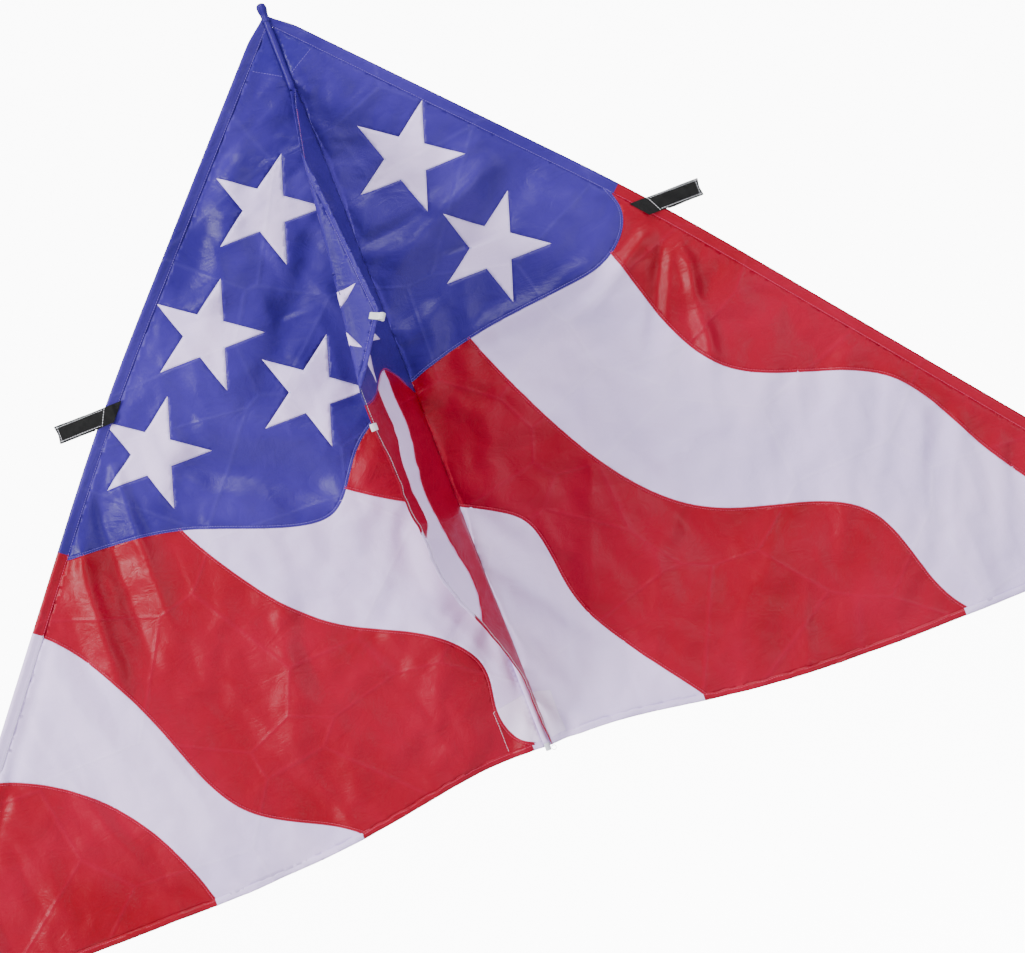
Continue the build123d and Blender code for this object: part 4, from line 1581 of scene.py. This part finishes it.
@dataclass
class Tapes:
    """Narrow tape loops: two tow loops on the keel and one on the tail cap."""

    closet: Closet
    keel: Keel
    thickness: float = 0.75 * MM

    def build(self) -> None:
        """Makes all three."""
        k = self.keel
        fold = np.array(Matrix.Rotation(-k.angle, 3, Vector(k.axis)))
        for node, body, turn in (("tow_loop_lower", "keel", np.eye(3)),
                                 ("tow_loop_upper", "keel_corner", fold)):
            mount = next(m for m in frame["record"]["mounts"] if m["name"] == node)
            eye = np.array(mount["pos_m"])
            width, bore = mount["dims"]["length_mm"] * MM, mount["dims"]["r_mm"] * MM
            out, up, along = turn @ k.out, turn @ k.normal, turn @ np.array((0, 0, 1.0))
            r = bore + 0.45 * MM
            tail = [(-bore - a * MM, b * MM) for a, b in ((18, 1.0), (10, 1.0), (3.5, 1.1), (0.8, 1.7))]
            bend = [(r * math.cos(t), r * math.sin(t)) for t in np.radians(np.arange(140, -141, -20))]
            path = tail + bend + [(a, -b) for a, b in tail[::-1]]
            obj = self.ribbon(node + "_tape", [eye + a * out + b * up for a, b in path], along, width)
            stand_in(obj, node, body)
        low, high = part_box("tail_loop")
        middle = np.array((low + high) / 2)
        r = (high.x - low.x) / 2 - 0.45 * MM
        turns = np.radians(np.arange(-172, 173, 14))
        path = [middle + np.array((r * math.cos(t), 0, r * math.sin(t))) for t in turns]
        obj = self.ribbon("tail_loop_tape", path, np.array((0, 1.0, 0)), high.y - low.y)
        stand_in(obj, "tail_loop", "spine")

    def ribbon(self, name: str, path: Sequence[Array], along: Array, width: float) -> bpy.types.Object:
        """A flat tape following a path."""
        across = (-0.5, -0.44, -0.2, 0.0, 0.2, 0.44, 0.5)
        points = [p + along * width * a for p in path for a in across]
        obj = mesh_object(name, np.array(points), patchwork(len(path), len(across)), [self.closet.tape])
        thicken(obj, self.thickness)
        soften(obj)
        return obj


@dataclass
class Pocket:
    """A webbing pocket for one end of the cross spar, softened from its solid and sewn."""

    side: Side
    closet: Closet
    stitcher: Stitcher
    voxel: float = 0.9 * MM

    def build(self) -> None:
        """Makes the pocket and its stitches."""
        node = f"{self.side.word}_spreader_pocket"
        source = frame["nodes"][node]
        bm = bmesh.new()
        bm.from_mesh(source.data)
        bmesh.ops.remove_doubles(bm, verts=bm.verts, dist=1e-5)
        mesh = bpy.data.meshes.new(node)
        bm.to_mesh(mesh)
        bm.free()
        rough = put(node, mesh)
        remesh = rough.modifiers.new("even", "REMESH")
        remesh.mode = "VOXEL"
        remesh.voxel_size = self.voxel
        smooth = rough.modifiers.new("soft", "SMOOTH")
        smooth.factor, smooth.iterations = 0.5, 3
        done = applied(rough)
        rough.modifiers.clear()
        bpy.data.objects.remove(rough)
        obj = put(node + "_webbing", done)
        done.materials.clear()
        done.materials.append(self.closet.webbing)
        co = corners(done)
        low, high = co.min(0), co.max(0)
        ax = (co[:, 0] - low[0]) / (high[0] - low[0])
        ax = ax if self.side is Side.RIGHT else 1 - ax
        half = (high[2] - low[2]) / 2
        mid = 1 - np.abs(co[:, 2] - (high[2] + low[2]) / 2) / half
        co[:, 0] -= self.side.value * 2.6 * MM * np.clip(mid, 0, 1) * ease((ax - 0.72) / 0.28)
        noise = Lattice(33 + self.side.value)
        co[:, 1] -= 0.5 * MM * noise.at(co[:, 0] / 0.022, co[:, 2] / 0.013)
        co[:, 2] += 0.7 * MM * noise.at(co[:, 0] / 0.03 + 5, co[:, 2] / 0.05)
        done.vertices.foreach_set("co", co.ravel())
        done.polygons.foreach_set("use_smooth", [True] * len(done.polygons))
        done.update()
        stand_in(obj, node, f"{self.side.word}_wing")
        self.sew(obj, low, high)

    def sew(self, obj: bpy.types.Object, low: Array, high: Array) -> None:
        """Sews bright thread along both long edges and across."""
        bpy.context.view_layer.update()
        dg = bpy.context.evaluated_depsgraph_get()
        tree = BVHTree.FromObject(obj, dg)
        inner, outer = (low[0], high[0]) if self.side is Side.RIGHT else (high[0], low[0])
        span = outer - inner
        tall, down = high[2] - low[2], np.linspace(0, 1, 12)
        rows = [
            [(inner + span * t, high[2] - 3.2 * MM) for t in np.linspace(0.30, 0.97, 40)],
            [(inner + span * t, low[2] + 3.2 * MM) for t in np.linspace(0.40, 0.97, 40)],
            [(inner + span * (0.26 + 0.10 * t), high[2] - 3.0 * MM - (tall - 6 * MM) * t) for t in down],
            [(inner + span * 0.955, high[2] - 3.2 * MM - (tall - 6.4 * MM) * t) for t in down],
        ]
        for row in rows:
            points = []
            for x, z in row:
                hit = tree.ray_cast(Vector((x, low[1] - 0.05, z)), Vector((0, 1, 0)))[0]
                if hit is not None:
                    points.append((hit.x, hit.y - 0.15 * MM, hit.z))
            if len(points) > 2:
                name = f"{self.side.word}_pocket_stitches"
                self.stitcher.sew(f"{self.side.word}_wing", name, self.closet.webbing_thread,
                                  np.array(points))


class Hardware:
    """The rigid parts, which keep their CAD shape."""

    def __init__(self, closet: Closet) -> None:
        """Pairs each rigid node with its finish."""
        self.finishes = {"spine_rod": closet.spar, "ferrule": closet.ferrule, "tail_cap": closet.clear_cap}
        for side in Side:
            self.finishes[f"{side.word}_edge_rod"] = closet.spar
            self.finishes[f"spreader_{side.word}_rod"] = closet.spar
            self.finishes[f"spreader_{side.word}_cap"] = closet.cap
            self.finishes[f"{side.word}_edge_cap_upper"] = closet.cap
            self.finishes[f"{side.word}_edge_cap_lower"] = closet.cap

    def build(self) -> None:
        """Puts the finishes on."""
        for node, finish in self.finishes.items():
            mesh = frame["nodes"][node].data
            mesh.materials.clear()
            mesh.materials.append(finish)
        log.info("hardware: %d rigid pieces", len(self.finishes))


@dataclass(frozen=True)
class Studio:
    """Pale floor and board, soft light from the left and the camera in front."""

    datum: Datum
    aim: tuple[float, float] = (0.107, -0.876)
    distance: float = 6.0
    lens: float = 127.7
    lean: tuple[float, float] = (0.3617, 0.9323)

    def build(self) -> None:
        """Sets everything up."""
        self.backdrop()
        self.lamp("key", (-6.2, -3.4, 2.2), 2.3, 830.0, (1.0, 0.99, 0.97))
        self.lamp("top", (0.4, -1.6, 3.6), 1.8, 170.0, (1.0, 1.0, 1.0))
        self.lamp("fill", (3.6, -5.0, -0.4), 2.6, 150.0, (0.98, 0.97, 1.0))
        world = bpy.data.worlds.new("soft room")
        world.use_nodes = True
        light = world.node_tree.nodes["Background"].inputs
        light["Color"].default_value = (0.93, 0.95, 1.0, 1.0)
        light["Strength"].default_value = 0.55
        bpy.context.scene.world = world
        self.camera()

    def backdrop(self) -> None:
        """Makes a wide pale floor, and a glowing board far behind."""
        r = Recipe("studio paper")
        grain = r.noise(r.spot(), 3.0, 2.0)
        paper = r.surface({"Base Color": r.mix(grain, srgb(246, 246, 248), srgb(250, 250, 252)),
                           "Roughness": 0.85})
        r = Recipe("light board")
        shade = r.noise(r.spot(), 0.3, 1.0)
        glow = r.mix(shade, (0.98, 0.98, 0.98, 1), (1, 1, 1, 1))
        board = r.surface({"Base Color": (0.9, 0.9, 0.9, 1), "Emission Color": glow,
                           "Emission Strength": 10.0})
        low, far, half = -3.6, 12.0, 3.5
        x, z = self.datum.x + self.aim[0], self.datum.top + self.aim[1]
        floor = [(-20, -20, low), (20, -20, low), (20, 20, low), (-20, 20, low)]
        panel = [(x - half, far, z - half), (x + half, far, z - half), (x + half, far, z + half),
                 (x - half, far, z + half)]
        mesh_object("studio_floor", np.array(floor), [(0, 1, 2, 3)], [paper])
        mesh_object("light_board", np.array(panel), [(0, 1, 2, 3)], [board])

    @staticmethod
    def lamp(name: str, place: Place, size: float, power: float, colour: Place) -> None:
        """Adds a soft lamp turned to the kite."""
        light = bpy.data.lights.new(name, "AREA")
        light.shape, light.size, light.energy, light.color = "DISK", size, power, colour
        obj = bpy.data.objects.new(name, light)
        obj.location = place
        obj.rotation_euler = (Vector((0.0, 0.24, -0.15)) - Vector(place)).to_track_quat("-Z", "Y").to_euler()
        bpy.context.scene.collection.objects.link(obj)
        obj.visible_camera = False

    def camera(self) -> None:
        """Makes the camera, level with the sail and rolled as the kite hangs."""
        data = bpy.data.cameras.new("front")
        data.lens, data.sensor_width = self.lens, 36.0
        data.clip_start, data.clip_end = 0.05, 60.0
        obj = bpy.data.objects.new("front", data)
        place = Vector((self.datum.x + self.aim[0], self.datum.y - self.distance,
                        self.datum.top + self.aim[1]))
        up = Vector((self.lean[0], 0, self.lean[1])).normalized()
        right = Vector((0, 1, 0)).cross(up)
        turn = Matrix((right, up, Vector((0, -1, 0)))).transposed().to_4x4()
        obj.matrix_world = Matrix.Translation(place) @ turn
        bpy.context.scene.collection.objects.link(obj)
        bpy.context.scene.camera = obj


def main() -> None:
    """Builds the kite's look piece by piece."""
    closet = Closet()
    stitcher = Stitcher(closet)
    datum = Datum()
    Hardware(closet).build()
    folds = {
        Side.LEFT: [
            Fold((-0.40, -0.65), (-0.16, -0.79), 0.030, -14 * MM),
            Fold((-0.36, -0.60), (-0.14, -0.72), 0.030, 8 * MM),
            Fold((-0.60, -0.66), (-0.62, -0.98), 0.016, 9 * MM),
            Fold((-0.55, -0.62), (-0.56, -0.95), 0.014, -8 * MM),
            Fold((-0.50, -0.60), (-0.51, -0.94), 0.014, 8 * MM),
            Fold((-0.10, -0.18), (-0.30, -0.50), 0.026, 7 * MM),
            Fold((-0.03, -0.36), (-0.24, -0.62), 0.024, -7 * MM),
            Fold((-0.70, -0.84), (-0.98, -1.20), 0.018, -6 * MM),
            Fold((-0.30, -0.84), (-0.40, -1.22), 0.030, 6 * MM),
        ],
        Side.RIGHT: [
            Fold((0.02, -0.57), (0.33, -0.41), 0.030, -15 * MM),
            Fold((0.03, -0.50), (0.26, -0.37), 0.024, 9 * MM),
            Fold((0.01, -0.43), (0.15, -0.42), 0.014, -8 * MM),
            Fold((0.46, -0.58), (0.30, -0.68), 0.016, 7 * MM),
            Fold((0.48, -0.60), (0.38, -0.80), 0.014, -7 * MM),
            Fold((0.51, -0.61), (0.48, -0.84), 0.014, 7 * MM),
            Fold((0.10, -0.64), (0.40, -0.60), 0.020, 7 * MM),
            Fold((0.30, -0.86), (0.40, -1.20), 0.030, -6 * MM),
        ],
    }
    panels = {
        Side.LEFT: {
            "canton": Dye.BLUE, "red_centre": Dye.RED, "white_inner": Dye.WHITE,
            "red_middle": Dye.RED, "white_outer": Dye.WHITE, "red_tip": Dye.RED,
        },
        Side.RIGHT: {
            "canton": Dye.BLUE, "red_centre": Dye.RED, "white_inner": Dye.WHITE,
            "white_outer": Dye.WHITE, "red_edge": Dye.RED,
        },
    }
    for side in Side:
        slack = Slack(side, datum, EdgeLine(side, datum), folds[side])
        Wing(side, datum, closet, stitcher, slack, panels[side], 4 if side is Side.LEFT else 2).build()
        Pocket(side, closet, stitcher).build()
    # How far the keel's rim and its middle stand aside, by distance down from the nose.
    sway = [(0.0, 0.0), (0.735, 0.0), (0.78, -0.004), (0.815, -0.006), (0.87, -0.0136), (0.918, -0.0125)]
    sway += [(0.989, -0.023), (1.051, -0.010), (1.083, 0.005), (1.137, 0.016), (1.189, 0.0195)]
    sway += [(1.28, 0.011), (1.312, 0.009), (1.5, 0.009)]
    belly = [(0.0, 0.009), (0.86, 0.009), (0.92, 0.013), (0.99, 0.017), (1.05, 0.018), (1.145, 0.014)]
    belly += [(1.19, 0.0135), (1.28, 0.010), (1.5, 0.009)]
    keel_panels = {
        "keel_blue": Dye.BLUE, "keel_red_rear": Dye.RED, "keel_white": Dye.WHITE,
        "keel_red_front": Dye.RED, "keel_corner_cloth": Dye.BLUE,
    }
    keel = Keel(datum, closet, stitcher, keel_panels, sway=sway, belly=belly)
    keel.build()
    SpineCloth(datum, closet, [(0.672, Dye.BLUE), (0.882, Dye.RED), (1.4, Dye.WHITE)]).build()
    Tapes(closet, keel).build()
    stitcher.finish()
    Studio(datum).build()


if __name__ == "__main__":
    logging.basicConfig(level=logging.INFO, format="%(message)s")
    main()
